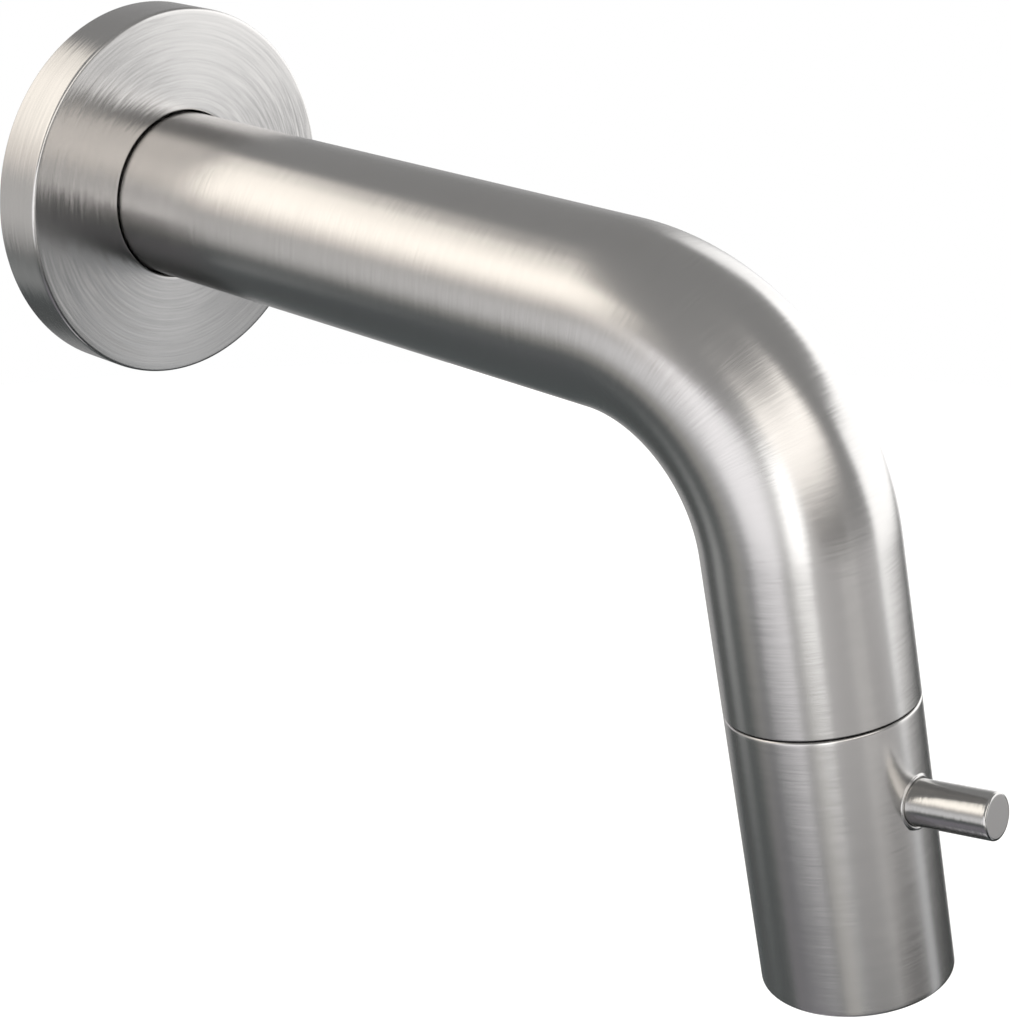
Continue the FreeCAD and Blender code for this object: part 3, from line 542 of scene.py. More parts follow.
def maths(tree: Tree, operation: str, *values: Socket | float) -> Socket:
    """Result of a math node that is fed with sockets or plain numbers, in order."""
    return add_node(tree, "Math", dict(enumerate(values)),
                    operation=operation).outputs[0]


def new_material(name: str) -> tuple[Material, Tree]:
    """A material with an empty node tree."""
    material = bpy.data.materials.new(name)
    material.use_nodes = True
    material.node_tree.nodes.clear()
    return material, material.node_tree


def dress(piece: Object, material: Material) -> None:
    """Give a piece one material all over."""
    if piece.data.materials:
        for index in range(len(piece.data.materials)):
            piece.data.materials[index] = material
    else:
        piece.data.materials.append(material)


def give_surface(tree: Tree, tint: str, shade: Socket, **inputs: object) -> None:
    """Finish a material with a tint times a shade and further inputs of the shader."""
    colour = add_node(tree, "VectorMath", {
        0: linear(tint)[:3], "Scale": shade}, operation="SCALE").outputs[0]
    shader = add_node(tree, "BsdfPrincipled", {"Base Color": colour, **inputs})
    add_node(tree, "OutputMaterial", {"Surface": shader.outputs[0]})


@dataclass(frozen=True)
class BrushedSteel:
    """Stainless steel, grade 304, ground with an abrasive belt that leaves fine lines.

    The lines run round the piece. Light spreads across them and stays narrow along them, so
    the eye sees long soft bands with a silky edge, broken into hairs where a band ends.

    Attributes:
        name: what the surface is and how it was made.
        tint: colour of the bare metal.
        roughness: typical roughness of a ground surface.
        anisotropy: how much further light spreads across the lines than along them.
        line_mm: spacing and length of the fine lines. The belt's own scratches are finer,
            and are drawn coarser so that a picture can show them.
        stroke_mm: spacing and length of the broader strokes.
        cloud_mm: size of the patches that the grinding leaves.
        across: how far the lines tilt the surface across themselves.
        along: how far they tilt it along themselves.
        shade: how much a line darkens or lightens the metal.
        rough_swing: how much rougher or smoother a stroke is.
        cloud_swing: how much a patch darkens or lightens the metal.
    """

    name: str
    tint: str = "c9c7c5"
    roughness: float = 0.25
    anisotropy: float = 0.55
    line_mm: tuple[float, float] = (0.16, 5.0)
    stroke_mm: tuple[float, float] = (0.3, 8.0)
    cloud_mm: float = 12.0
    across: float = 0.012
    along: float = 0.004
    shade: float = 0.03
    rough_swing: float = 0.01
    cloud_swing: float = 0.015

    def make(self) -> Material:
        """Build the material."""
        material, tree = new_material(self.name)
        attribute = add_node(tree, "Attribute", attribute_name=BRUSH)
        brush = attribute.outputs["Vector"]
        fine = self.lines(tree, brush, self.line_mm, detail=3.0)
        stroke = self.lines(tree, brush, self.stroke_mm, detail=2.0)
        cloud = add_node(tree, "TexNoise", {
            "Vector": brush, "Scale": 1 / self.cloud_mm, "Detail": 2.0}).outputs[0]
        tilt = add_node(tree, "CombineXYZ", {
            "X": self.ranged(tree, fine, 0.5, self.across),
            "Y": self.ranged(tree, stroke, 0.5, self.along), "Z": 1.0})
        normal = add_node(tree, "NormalMap", {
            "Color": tilt.outputs[0], "Strength": 1.0}, space="TANGENT", uv_map=GRAIN)
        rough = self.ranged(tree, stroke, self.roughness, self.rough_swing)
        shade = maths(tree, "MULTIPLY", self.ranged(tree, cloud, 1.0, self.cloud_swing),
                      self.ranged(tree, fine, 1.0, self.shade))
        tangent = add_node(tree, "Tangent", direction_type="UV_MAP", uv_map=GRAIN)
        give_surface(tree, self.tint, shade, Metallic=1.0, Roughness=rough,
                     Anisotropic=self.anisotropy, Normal=normal.outputs[0],
                     Tangent=tangent.outputs[0])
        return material

    @staticmethod
    def ranged(tree: Tree, noise: Socket, middle: float, swing: float) -> Socket:
        """Bring a noise, mostly near a half, to a middle value with a swing either way."""
        return add_node(tree, "MapRange", {
            "Value": noise, "From Min": 0.25, "From Max": 0.75,
            "To Min": middle - swing, "To Max": middle + swing}, clamp=False).outputs[0]

    @staticmethod
    def lines(tree: Tree, brush: Socket, size_mm: tuple[float, float],
              detail: float) -> Socket:
        """Noise drawn out round the piece into lines of a spacing and a length."""
        spacing, length = size_mm
        stretched = add_node(tree, "Mapping", {
            "Vector": brush, "Scale": (1 / spacing, 1 / length, 1 / length)})
        return add_node(tree, "TexNoise", {
            "Vector": stretched.outputs[0], "Scale": 1.0, "Detail": detail,
            "Roughness": 0.6}).outputs[0]


@dataclass(frozen=True)
class PlainFinish:
    """A plain turned, moulded or fired surface with a fine grain of its own.

    Attributes:
        name: what the material is and how its surface was made.
        tint: its colour.
        roughness: typical roughness of such a surface.
        metallic: 1 for a metal.
        grain_mm: size of the grain, drawn coarser than the real one so that it shows.
        depth_mm: depth of the grain.
        mottle: how much the colour varies.
        rough_swing: how much the roughness varies.
    """

    name: str
    tint: str
    roughness: float
    metallic: float = 0.0
    grain_mm: float = 0.6
    depth_mm: float = 0.004
    mottle: float = 0.06
    rough_swing: float = 0.05

    def make(self) -> Material:
        """Build the material."""
        material, tree = new_material(self.name)
        place = add_node(tree, "TexCoord").outputs["Object"]
        grain = add_node(tree, "TexNoise", {
            "Vector": place, "Scale": 1 / (self.grain_mm * MM), "Detail": 3.0}).outputs[0]
        bump = add_node(tree, "Bump", {
            "Height": grain, "Strength": 0.6, "Distance": self.depth_mm * MM})
        shade = add_node(tree, "MapRange", {
            "Value": grain, "From Min": 0.3, "From Max": 0.7,
            "To Min": 1 - self.mottle, "To Max": 1 + self.mottle})
        rough = add_node(tree, "MapRange", {
            "Value": grain, "To Min": self.roughness - self.rough_swing,
            "To Max": self.roughness + self.rough_swing})
        give_surface(tree, self.tint, shade.outputs[0], Metallic=self.metallic,
                     Roughness=rough.outputs[0], Normal=bump.outputs[0])
        return material


class Stuff(Enum):
    """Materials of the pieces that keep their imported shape."""

    # Cut on a lathe: a tight shine, broken a little by the tool's marks.
    TURNED_STEEL = PlainFinish("stainless_steel_turned", "b9b6b1", roughness=0.32,
                               metallic=1.0, grain_mm=0.25, depth_mm=0.002)
    # The same cut in a yellow metal.
    BRASS = PlainFinish("brass_turned", "c9a15a", roughness=0.34,
                        metallic=1.0, grain_mm=0.25, depth_mm=0.002)
    # Moulded black rubber: a dull, even skin.
    RUBBER = PlainFinish("epdm_rubber_moulded", "1b1c1d", roughness=0.62,
                         grain_mm=0.3, depth_mm=0.006, mottle=0.15)
    # Cut foam: no shine, with pores.
    FOAM = PlainFinish("closed_cell_foam_cut", "2b2c2e", roughness=0.9,
                       grain_mm=0.5, depth_mm=0.03, mottle=0.25)
    # Moulded plastic: a soft sheen, nearly even.
    DARK_ACETAL = PlainFinish("acetal_moulded_dark", "2a2c2e", roughness=0.42,
                              grain_mm=0.4, depth_mm=0.003)
    WHITE_ACETAL = PlainFinish("acetal_moulded_white", "dcdcd6", roughness=0.4,
                               grain_mm=0.4, depth_mm=0.003, mottle=0.03)
    # Fired and lapped flat: ivory, almost a mirror.
    ALUMINA = PlainFinish("alumina_ceramic_lapped", "e6e2d6", roughness=0.18,
                          grain_mm=0.2, depth_mm=0.001, mottle=0.02)

    def material(self) -> Material:
        """The finished material, made once."""
        return bpy.data.materials.get(self.value.name) or self.value.make()


def keep_nodes(finishes: dict[Stuff, tuple[str, ...]]) -> None:
    """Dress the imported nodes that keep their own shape, given by what they are made of."""
    for stuff, names in finishes.items():
        for name in names:
            dress(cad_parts[name], stuff.material())
            log.info("kept %s as %s", name, stuff.value.name)


def show(piece: Object, materials: Sequence[Material], body: str, node: str) -> None:
    """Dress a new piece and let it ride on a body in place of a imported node.

    Args:
        piece: the new object, whose faces may name one of the materials by number.
        materials: its materials.
        body: the body that it moves with.
        node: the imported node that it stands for.
    """
    for material in materials:
        piece.data.materials.append(material)
    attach(piece, body)
    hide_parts(node)
    log.info("made %s with %d faces", piece.name, len(piece.data.polygons))


def outline(*places: tuple[float, ...]) -> list[Corner]:
    """Corners from levels and radii, a little eased unless a place has its own ease."""
    return [Corner(*place) if len(place) > 2 else Corner(*place, SMALL_EDGE)
            for place in places]


def notch(first: float, last: float, wall: float, floor: float
          ) -> list[tuple[float, float]]:
    """Places of a square notch between two levels, from a wall's radius to a floor's."""
    return [(first, wall), (first, floor), (last, floor), (last, wall)]


@dataclass
class WallFixing:
    """The rosette on the wall, with the nipple that the spout is locked on.

    Attributes:
        route: the spout's centre line, whose level 0 is the wall.
        radius: the rosette's radius, from its node.
        depth: how far it stands off the wall, from its node.
    """

    route: Route
    radius: float
    depth: float
    wall: float = 2.0 * MM
    hole_radius: float = 12.8 * MM
    collar_radius: float = 15.9 * MM
    collar_depth: float = 3.5 * MM
    ring_groove_radius: float = 14.32 * MM
    ring_groove_half: float = 1.05 * MM
    front_edge: float = 0.5 * MM
    hole_edge: float = 0.3 * MM
    columns: int = 288
    step: float = 1.0 * MM
    thread_radius: float = 10.48 * MM
    thread_length: float = 16.0 * MM
    thread_pitch: float = 1.814 * MM
    thread_depth: float = 1.162 * MM
    thread_chamfer: float = 1.0 * MM
    thread_wave: float = 0.62
    thread_columns: int = 144
    thread_step: float = 0.2 * MM
    spigot_radius: float = 9.0 * MM
    spigot_length: float = 32.0 * MM
    bore_radius: float = 5.5 * MM
    key_flat: float = 6.0 * MM
    key_depth: float = 9.0 * MM
    seal_levels: tuple[float, ...] = (12.0 * MM, 17.5 * MM)
    seal_half: float = 1.15 * MM
    seal_bottom: float = 7.05 * MM
    screw_depth: float = 0.8 * MM

    def build_rosette(self) -> Object:
        """Cover with a hollow back, a collar and a groove for its gripping ring."""
        floor = self.depth - self.wall
        groove = floor - self.collar_depth / 2
        inner = self.radius - self.wall
        corners = outline(
            (0, self.radius),
            (self.depth, self.radius, self.front_edge),
            (self.depth, self.hole_radius, self.hole_edge),
            *notch(groove + self.ring_groove_half, groove - self.ring_groove_half,
                   self.hole_radius, self.ring_groove_radius),
            (floor - self.collar_depth, self.hole_radius),
            (floor - self.collar_depth, self.collar_radius),
            (floor, self.collar_radius),
            (floor, inner),
            (0, inner),
        )
        sweep = Sweep(self.route, self.columns, self.step, self.radius)
        return sweep.tube("wall_rosette_steel", corners)

    def threaded(self, rows: Array, angle: Array) -> Array:
        """Cut the pipe thread into the outer wall and the hexagon into the bore.

        The thread's radius is the blank's less the depth times h(p), where p is the level
        in pitches less the turn, and h a cosine wave with its crests and roots flattened
        a little. It runs out towards the wall. The hexagon's radius is its flat over the
        cosine of the angle from the nearest flat's middle.

        Args:
            rows: (level, radius) of the outline.
            angle: angles round the axis, as one row.

        Returns:
            Radii, a row for each row of the outline.
        """
        level, radius = rows[:, :1], rows[:, 1:]
        wave = np.cos(FULL_TURN * level / self.thread_pitch - angle)
        cut = self.thread_depth * np.clip(0.5 - self.thread_wave * wave, 0, 1)
        fade = np.clip(-level / self.thread_pitch - 0.5, 0, 1)
        blank = radius + 0 * angle
        on_thread = (level < 0) & (radius > self.spigot_radius)
        thread = np.minimum(blank, self.thread_radius - cut * fade)
        sixth = FULL_TURN / 6
        off_flat = (angle + sixth / 2) % sixth - sixth / 2
        key_start = self.spigot_length - self.key_depth
        on_key = (level > key_start + SAME_POINT) & (radius < self.key_flat + SAME_POINT)
        key = self.key_flat / np.cos(off_flat) + 0 * level
        return np.where(on_thread, thread, np.where(on_key, key, blank))

    def build_nipple(self) -> Object:
        """Nipple with a pipe thread, two seal grooves, a screw groove and a hexagon."""
        spigot = self.spigot_radius
        key_start = self.spigot_length - self.key_depth
        seals = [place for level in self.seal_levels
                 for place in notch(level - self.seal_half, level + self.seal_half,
                                    spigot, self.seal_bottom)]
        corners = outline(
            (-self.thread_length, self.thread_radius - self.thread_chamfer, 0),
            (self.thread_chamfer - self.thread_length, self.thread_radius, 0),
            (0, self.thread_radius),
            (0, spigot),
            (SCREW_LEVEL - self.screw_depth, spigot, 0),
            (SCREW_LEVEL, spigot - self.screw_depth, 0),
            (SCREW_LEVEL + self.screw_depth, spigot, 0),
            *seals,
            (self.spigot_length - self.thread_chamfer, spigot),
            (self.spigot_length, spigot - self.thread_chamfer),
            (self.spigot_length, self.key_flat, 0),
            (key_start, self.key_flat, 0),
            (key_start, self.bore_radius, 0),
            (-self.thread_length, self.bore_radius),
        )
        sweep = Sweep(self.route, self.thread_columns, self.thread_step,
                      self.spigot_radius)
        return sweep.tube("wall_nipple_brass", corners, shaped=self.threaded)

    def dress(self) -> None:
        """Build the rosette and the nipple and finish the pieces at the wall."""
        show(self.build_nipple(), [Stuff.BRASS.material()], "spout", "wall_nipple")
        # Faced on a lathe: longer and deeper rings, whose shine spreads wider across them.
        face = BrushedSteel("stainless_steel_faced_on_a_lathe", line_mm=(0.3, 25.0),
                            stroke_mm=(0.35, 9.0), across=0.014, along=0.018,
                            shade=0.02, roughness=0.24, anisotropy=0.75)
        show(self.build_rosette(), [face.make()], "rosette", "wall_rosette")
        keep_nodes({
            Stuff.RUBBER: ("nipple_orings", "rosette_oring"),
            Stuff.BRASS: ("spout_root_bush",),
            Stuff.TURNED_STEEL: ("spout_grub_screw",),
            Stuff.FOAM: ("rosette_wall_seal",),
        })


@dataclass
class Spout:
    """The bent tube with the cartridge that is fixed in its outlet end.

    Attributes:
        route: the centre line.
        radius: the tube's radius, from its node.
        start: level of its root, from its node.
        seam: level of the middle of the seam.
    """

    route: Route
    radius: float
    start: float
    seam: float
    lip_overhang: float = 0.15 * MM
    lip_wall: float = 0.55 * MM
    screw_hole: float = 2.2 * MM
    patch_reach: float = 3.2 * MM
    columns: int = 192
    step: float = 0.9 * MM

    def build_tube(self) -> Object:
        """Tube along the whole route, drilled below for the locking screw.

        Its outer skin runs on as a thin lip that hides the slip ring's flange.
        """
        end = self.seam - SEAM_GAP / 2
        bore = self.radius - TUBE_WALL
        hole = Drilling(SCREW_LEVEL, 0.75 * FULL_TURN, self.screw_hole,
                        edge=SMALL_EDGE, lift=-SMALL_EDGE / 2, reach=self.patch_reach)
        low, high = hole.span()
        corners = outline(
            (self.start, self.radius),
            (low, self.radius, 0),
            (high, self.radius, 0),
            (end + self.lip_overhang, self.radius),
            (end + self.lip_overhang, self.radius - self.lip_wall, 0),
            (end, self.radius - self.lip_wall, 0),
            (end, bore),
            (high, bore, 0),
            (low, bore, 0),
            (self.start, bore),
        )
        sweep = Sweep(self.route, self.columns, self.step, self.radius)
        return sweep.tube("spout_tube_steel", corners, hole)

    def dress(self) -> None:
        """Build the tube and finish the pieces that it holds."""
        skin = BrushedSteel("stainless_steel_belt_ground_tube")
        show(self.build_tube(), [skin.make()], "spout", "spout_tube")
        keep_nodes({
            Stuff.BRASS: ("spout_end_holder", "cartridge_housing"),
            Stuff.DARK_ACETAL: ("slip_ring",),
            Stuff.RUBBER: ("cartridge_seal",),
            Stuff.ALUMINA: ("fixed_ceramic_disc",),
            Stuff.WHITE_ACETAL: ("spindle_washer",),
        })


@dataclass
class Control:
    """The sleeve that the user turns, with its lever and what it drives.

    Attributes:
        route: the centre line.
        radius: the sleeve's radius, which is the tube's.
        seam: level of the middle of the seam, from which its own levels count.
    """

    route: Route
    radius: float
    seam: float
    sleeve_length: float = 37.79 * MM
    seam_edge: float = 0.35 * MM
    mouth_edge: float = 0.4 * MM
    waist_wall: float = 2.9 * MM
    outlet_wall: float = 2.0 * MM
    hub_end: float = 17.5 * MM
    waist_end: float = 28.0 * MM
    lever_drop: float = 11.85 * MM
    lever_radius: float = 3.0 * MM
    lever_play: float = 0.03 * MM
    bead_width: float = 0.4 * MM
    bead_height: float = 0.15 * MM
    lever_seat: float = 10.2 * MM
    lever_reach: float = 23.23 * MM
    lever_edge: float = 0.35 * MM
    tap_radius: float = 2.0 * MM
    tap_depth: float = 6.0 * MM
    patch_reach: float = 4.4 * MM
    columns: int = 192
    step: float = 0.45 * MM
    lever_columns: int = 96
    lever_step: float = 0.5 * MM

    def build_sleeve(self) -> Object:
        """Sleeve with a stepped bore, drilled on its outer side for the lever."""
        at = self.seam
        top = at + SEAM_GAP / 2
        end = at + self.sleeve_length
        hole = Drilling(at + self.lever_drop, 0.25 * FULL_TURN,
                        self.lever_radius + self.lever_play, edge=self.bead_width,
                        lift=self.bead_height, reach=self.patch_reach)
        low, high = hole.span()
        bore, waist = self.radius - TUBE_WALL, self.radius - self.waist_wall
        outlet = self.radius - self.outlet_wall
        corners = outline(
            (top, self.radius, self.seam_edge),
            (low, self.radius, 0),
            (high, self.radius, 0),
            (end, self.radius, self.mouth_edge),
            (end, outlet),
            (at + self.waist_end, outlet),
            (at + self.waist_end, waist),
            (at + self.hub_end, waist),
            (at + self.hub_end, bore),
            (high, bore, 0),
            (low, bore, 0),
            (top, bore),
        )
        sweep = Sweep(self.route, self.columns, self.step, self.radius)
        return sweep.tube("control_sleeve_steel", corners, hole)

    def build_lever(self) -> Object:
        """Round pin with an eased tip and a tapped hole in its root."""
        start = self.route.end(self.seam + self.lever_drop)
        ahead = np.cross(start.outer, np.cross(start.heading, start.outer))
        line = Route(start.origin, start.outer, tuple(-ahead))
        hole_end = self.lever_seat + self.tap_depth
        corners = outline(
            (hole_end + self.tap_radius / 2, 0, 0),
            (hole_end, self.tap_radius),
            (self.lever_seat, self.tap_radius),
            (self.lever_seat, self.lever_radius),
            (self.lever_reach, self.lever_radius, self.lever_edge),
            (self.lever_reach, 0, 0),
        )
        sweep = Sweep(line, self.lever_columns, self.lever_step, self.lever_radius)
        pin = sweep.plug("lever_pin_steel", corners)
        tip, _ = line.frames(np.array([self.lever_reach]))
        self.mark_end(pin.data, tip[0], np.array(line.heading))
        return pin

    @staticmethod
    def mark_end(mesh: bpy.types.Mesh, tip: Array, ahead: Array) -> None:
        """Give the flat end of a pin, which faces ahead, its second material slot."""
        centres = np.zeros(len(mesh.polygons) * 3, np.float32)
        mesh.polygons.foreach_get("center", centres)
        height = (centres.reshape(-1, 3) - tip) @ ahead
        flat = (height > -SAME_POINT).astype(np.int32)
        mesh.polygons.foreach_set("material_index", flat)

    def dress(self) -> None:
        """Build the sleeve and the lever and finish what turns with them."""
        skin = BrushedSteel("stainless_steel_belt_ground_sleeve")
        show(self.build_sleeve(), [skin.make()], "control", "control_sleeve")
        # Turned bar: a tighter shine than the belt leaves, and a duller sawn and faced end.
        side = BrushedSteel("stainless_steel_turned_pin", "bfbebc", roughness=0.19,
                            line_mm=(0.15, 3.0), across=0.03, along=0.01, shade=0.03)
        end = PlainFinish("stainless_steel_faced_end", "b7b5b4", roughness=0.5,
                          metallic=1.0, grain_mm=0.2, depth_mm=0.002, mottle=0.02)
        show(self.build_lever(), [side.make(), end.make()], "control", "lever_pin")
        keep_nodes({
            Stuff.ALUMINA: ("turning_ceramic_disc",),
            Stuff.BRASS: ("hollow_spindle", "control_hub"),
            Stuff.RUBBER: ("spindle_orings", "hub_oring", "spindle_hub_oring",
                           "aerator_gasket"),
            Stuff.TURNED_STEEL: ("spindle_circlip", "stop_pin", "lever_stud",
                                 "aerator_screen"),
            Stuff.DARK_ACETAL: ("aerator_housing",),
            Stuff.WHITE_ACETAL: ("aerator_regulator", "aerator_grid"),
        })


@dataclass(frozen=True)
class Viewpoint:
    """The camera's place, worked out from the photograph's perspective.

    Azimuth and elevation are in degrees as seen from the target.
    """

    azimuth: float = -48.71
    elevation: float = 23.82
    distance: float = 278.1 * MM
    target: tuple[float, float, float] = (0.0, -69.81 * MM, -28.84 * MM)
    lens: float = 69.99
    sensor: float = 36.0
    shift: tuple[float, float] = (0.01825, -0.03562)
    clip: tuple[float, float] = (0.01, 50.0)

    def make(self) -> None:
        """Place the camera and make it the scene's."""
        around, above = math.radians(self.azimuth), math.radians(self.elevation)
        back = Vector((math.sin(around) * math.cos(above),
                       -math.cos(around) * math.cos(above), math.sin(above)))
        data = bpy.data.cameras.new("camera")
        data.lens, data.sensor_width = self.lens, self.sensor
        data.shift_x, data.shift_y = self.shift
        data.clip_start, data.clip_end = self.clip
        camera = bpy.data.objects.new("camera", data)
        camera.location = Vector(self.target) + back * self.distance
        camera.rotation_euler = (-back).to_track_quat("-Z", "Y").to_euler()
        bpy.context.scene.collection.objects.link(camera)
        bpy.context.scene.camera = camera


@dataclass(frozen=True)
class Card:
    """A soft-edged card or light panel on the studio tent, placed as the tap sees it.

    Azimuth goes round from the front of the wall towards +X, elevation up from level, and
    all angles are in degrees. A card covers what the cards before it put there.

    Attributes:
        name: what it is.
        centre: azimuth and elevation of its middle.
        size: its width and height.
        soft: width of the fade across each edge.
        colour: its colour.
        strength: how bright that colour is.
        tilt: how far its right end is turned up.
    """

    name: str
    centre: tuple[float, float]
    size: tuple[float, float]
    soft: float
    colour: str
    strength: float = 1.0
    tilt: float = 0.0

    def cover(self, tree: Tree, around: Socket, above: Socket) -> Socket:
        """How far the card covers a place on the tent.

        The place's azimuth and elevation, less the middle's, are turned by the tilt. Along
        each side the cover is a smooth step of the distance, and the two are multiplied.

        Args:
            tree: the tent's node tree.
            around: azimuth of the place.
            above: elevation of the place.

        Returns:
            The cover, from 0 to 1.
        """
        azimuth, elevation = (math.radians(angle) for angle in self.centre)
        across = maths(tree, "WRAP", maths(tree, "SUBTRACT", around, azimuth),
                       math.pi, -math.pi)
        up = maths(tree, "SUBTRACT", above, elevation)
        flat = add_node(tree, "CombineXYZ", {"X": across, "Y": up})
        turned = add_node(tree, "VectorRotate", {
            "Vector": flat.outputs[0], "Angle": -math.radians(self.tilt)},
            rotation_type="Z_AXIS")
        split = add_node(tree, "SeparateXYZ", {0: turned.outputs[0]})
        fade = math.radians(self.soft) / 2
        steps = []
        for side, length in zip("XY", self.size):
            half = math.radians(length) / 2
            steps.append(add_node(tree, "MapRange", {
                "Value": maths(tree, "ABSOLUTE", split.outputs[side]),
                "From Min": half + fade, "From Max": half - fade},
                interpolation_type="SMOOTHSTEP").outputs[0])
        return maths(tree, "MULTIPLY", *steps)

    def light(self) -> tuple[float, ...]:
        """The light that the card gives back."""
        return tuple(part * self.strength for part in linear(self.colour)[:3])


@dataclass
class Studio:
    """A tent of soft light round the tap, and a pale floor and a white room outside it.

    The camera looks through the tent, which only the tap and the floor see. From outside
    its wall is clear, so that the floor is lit through it and keeps the tap's shadow. The
    cards are a rounded approximation of surroundings that were fitted to the reflections
    on the photographed tap.
    """

    centre: tuple[float, float, float] = (0.0, -70 * MM, -30 * MM)
    tent_radius: float = 4.0
    floor_drop: float = 4.5
    floor_radius: float = 12.0
    floor_colour: str = "efefed"
    floor_lift: float = 0.3
    tent_colour: str = "9c9c9c"
    cards: tuple[Card, ...] = (
        Card("grey ground all round", (0, -62), (400, 76), 8, "595e5f"),
        Card("dark cloth below right", (50, -43), (100, 48), 6, "2c2f2f"),
        Card("black flag below", (11, -26), (26, 28), 6, "101212"),
        Card("grey card below the face", (41, -29), (14, 32), 7, "c4c7ca"),
        Card("dim cloth below left", (-76, -50), (108, 26), 14, "d6d2dd", 0.4),
        Card("light from the ground", (-86, -74), (84, 16), 12, "e4e3e8", 1.3),
        Card("grey card low left", (-58, -27), (18, 18), 10, "b6b5b0"),
        Card("grey card low behind", (-127, -25), (16, 12), 8, "b6b5b0", 0.9),
        Card("grey card far behind", (-161, -30), (16, 12), 8, "b0b2b2", 1.1),
        Card("pale wall behind", (-152, 2), (76, 40), 14, "d0cfcd"),
        Card("warm panel behind", (-135, 18), (40, 20), 10, "f2ebe4", 1.2),
        Card("warm lamp above behind", (-151, 35), (70, 22), 12, "fff9f0", 2.1, -18),
        Card("bare tent above behind", (180, 54), (44, 16), 8, "9c9c9c"),
        Card("pale foot of the window", (-112, -10), (30, 20), 12, "e8e8ea", 1.1),
        Card("edge of the window", (-70, 0), (16, 30), 6, "d8d8d8", 1.3),
        Card("window on the left", (-91, -3), (34, 38), 10, "f8f7fa", 1.6),
        Card("pale strip in front", (-4, -8), (76, 15), 7, "d8d7d7", 1.15),
        Card("pale card in front", (-4, -8), (18, 12), 8, "eeedec", 1.2),
        Card("black strip in front", (-17, 4), (32, 9), 5, "1c1d1e"),
        Card("warm lamp above", (-24, 33), (70, 30), 16, "fffbf6", 2.0, 18),
        Card("narrow lamp front left", (-54, 4), (20, 32), 6, "ffffff", 2.4),
        Card("grey wall right behind", (131, -14), (68, 46), 8, "f4f4f4", 0.5),
        Card("dark card behind", (178, -34), (16, 20), 8, "5a5c5c"),
        Card("pale card behind", (166, -3), (44, 34), 12, "efedf0", 0.9),
        Card("narrow lamp on the right", (108, 6), (16, 56), 8, "f7f7f7", 1.6),
        Card("soft box on the right", (68, 8), (66, 41), 8, "ffffff", 1.85),
    )

    def make_tent(self) -> None:
        """Ball round the tap that glows by direction on its inner side."""
        work = bmesh.new()
        bmesh.ops.create_uvsphere(work, u_segments=96, v_segments=48,
                                  radius=self.tent_radius)
        tent = self.stage("studio_tent", work, self.centre)
        tent.visible_camera = False
        material, tree = new_material("studio_tent_cloth")
        material.cycles.emission_sampling = "NONE"
        spot = add_node(tree, "TexCoord").outputs["Object"]
        offset = add_node(tree, "VectorMath", {0: spot, 1: self.centre},
                          operation="SUBTRACT")
        place = add_node(tree, "VectorMath", {0: offset.outputs[0]},
                         operation="NORMALIZE")
        split = add_node(tree, "SeparateXYZ", {0: place.outputs[0]})
        around = maths(tree, "ARCTAN2", split.outputs["X"],
                       maths(tree, "MULTIPLY", split.outputs["Y"], -1.0))
        above = maths(tree, "ARCSINE", split.outputs["Z"])
        total = linear(self.tent_colour)[:3]
        for card in self.cards:
            total = add_node(tree, "Mix", {
                0: card.cover(tree, around, above), 4: total, 5: card.light()},
                data_type="VECTOR", label=card.name).outputs[1]
        light = add_node(tree, "Emission", {"Color": total, "Strength": 1.0})
        clear = add_node(tree, "BsdfTransparent", {"Color": (1, 1, 1, 1)})
        inside = add_node(tree, "NewGeometry").outputs["Backfacing"]
        both = add_node(tree, "MixShader", {
            0: inside, 1: clear.outputs[0], 2: light.outputs[0]})
        add_node(tree, "OutputMaterial", {"Surface": both.outputs[0]})
        dress(tent, material)

    def make_floor(self) -> None:
        """Pale round floor far below, lifted to white for what looks at it directly."""
        work = bmesh.new()
        bmesh.ops.create_circle(work, cap_ends=True, segments=128, radius=self.floor_radius)
        below = (0, self.centre[1], self.centre[2] - self.floor_drop)
        floor = self.stage("studio_floor", work, below)
        material, tree = new_material("studio_floor_paper")
        paper = add_node(tree, "BsdfDiffuse", {
            "Color": linear(self.floor_colour)}).outputs[0]
        path = add_node(tree, "LightPath")
        seen = maths(tree, "MAXIMUM", path.outputs["Is Camera Ray"],
                     path.outputs["Is Glossy Ray"])
        seen = maths(tree, "MAXIMUM", seen, path.outputs["Is Transmission Ray"])
        lift = maths(tree, "MULTIPLY", seen, self.floor_lift)
        glow = add_node(tree, "Emission", {
            "Color": (1, 1, 1, 1), "Strength": lift}).outputs[0]
        both = add_node(tree, "AddShader", {0: paper, 1: glow})
        add_node(tree, "OutputMaterial", {"Surface": both.outputs[0]})
        dress(floor, material)

    @staticmethod
    def stage(name: str, work: bmesh.types.BMesh, centre: tuple[float, float, float]
              ) -> Object:
        """Move a shape to its place and put it in the scene as part of the studio."""
        bmesh.ops.translate(work, verts=work.verts, vec=centre)
        mesh = bpy.data.meshes.new(name)
        work.to_mesh(mesh)
        work.free()
        made = bpy.data.objects.new(name, mesh)
        bpy.context.scene.collection.objects.link(made)
        return made

    @staticmethod
    def make_world() -> None:
        """White room all round, which the tap sees only where the tent lets it."""
        world = bpy.data.worlds.new("white_room")
        world.use_nodes = True
        world.cycles.sampling_method = "NONE"
        tree = world.node_tree
        tree.nodes.clear()
        back = add_node(tree, "Background", {
            "Color": (1, 1, 1, 1), "Strength": 1.0})
        add_node(tree, "OutputWorld", {"Surface": back.outputs[0]})
        bpy.context.scene.world = world

    def build(self) -> None:
        """Make the tent, the floor and the world."""
        self.make_tent()
        self.make_floor()
        self.make_world()
        log.info("studio with %d cards", len(self.cards))


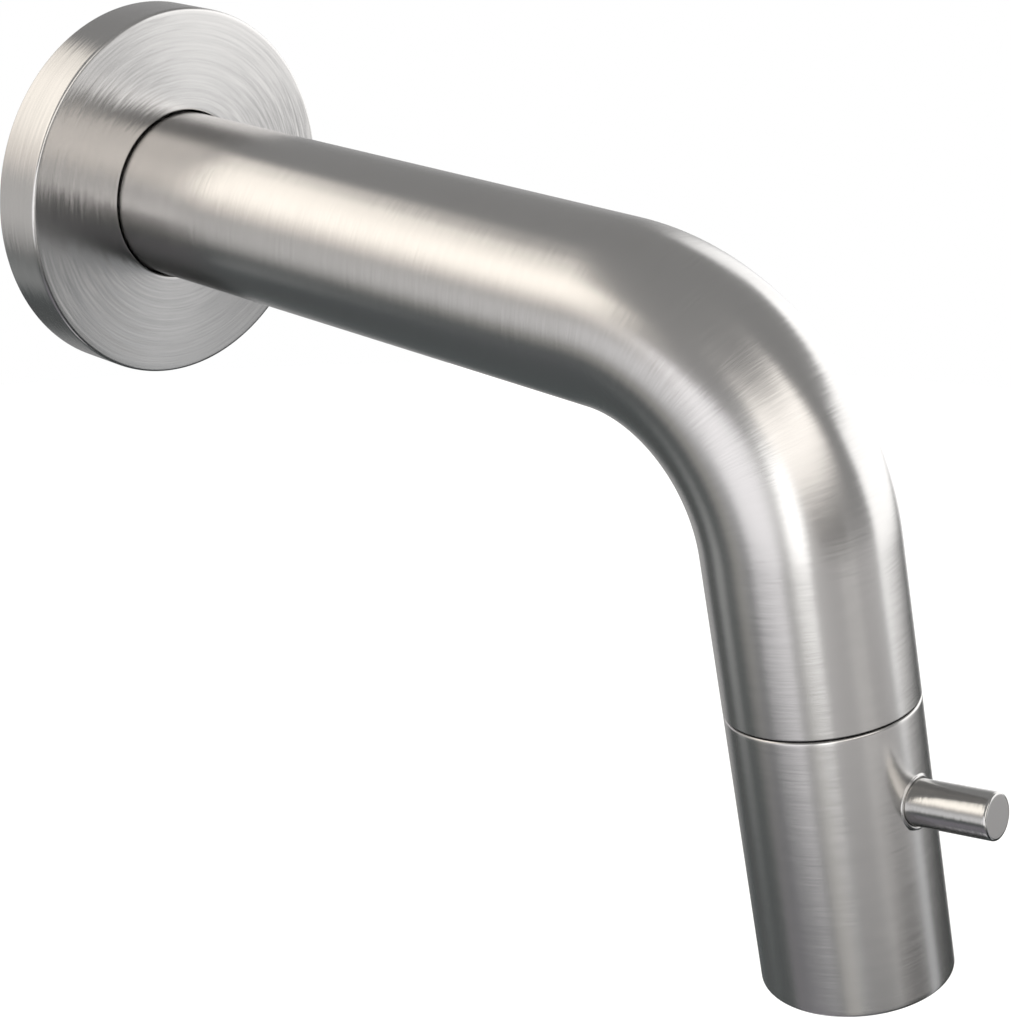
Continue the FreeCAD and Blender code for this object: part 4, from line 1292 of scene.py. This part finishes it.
def main() -> None:
    """Build the tap, its studio and its camera."""
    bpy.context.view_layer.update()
    tube_low, tube_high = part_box("spout_tube")
    rosette_low, rosette_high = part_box("wall_rosette")
    route = Route((0, 0, 0), (0, -1, 0), (0, 0, 1), FIRST_RUN, BEND_RADIUS, BEND_ANGLE)
    seam = FIRST_RUN + BEND_RADIUS * BEND_ANGLE + RUN_TO_SEAM
    radius = tube_high.x
    WallFixing(route, rosette_high.x, -rosette_low.y).dress()
    Spout(route, radius, -tube_high.y, seam).dress()
    Control(route, radius, seam).dress()
    Studio().build()
    Viewpoint().make()
    bpy.context.scene.view_settings.view_transform = "Standard"


if __name__ == "__main__":
    main()
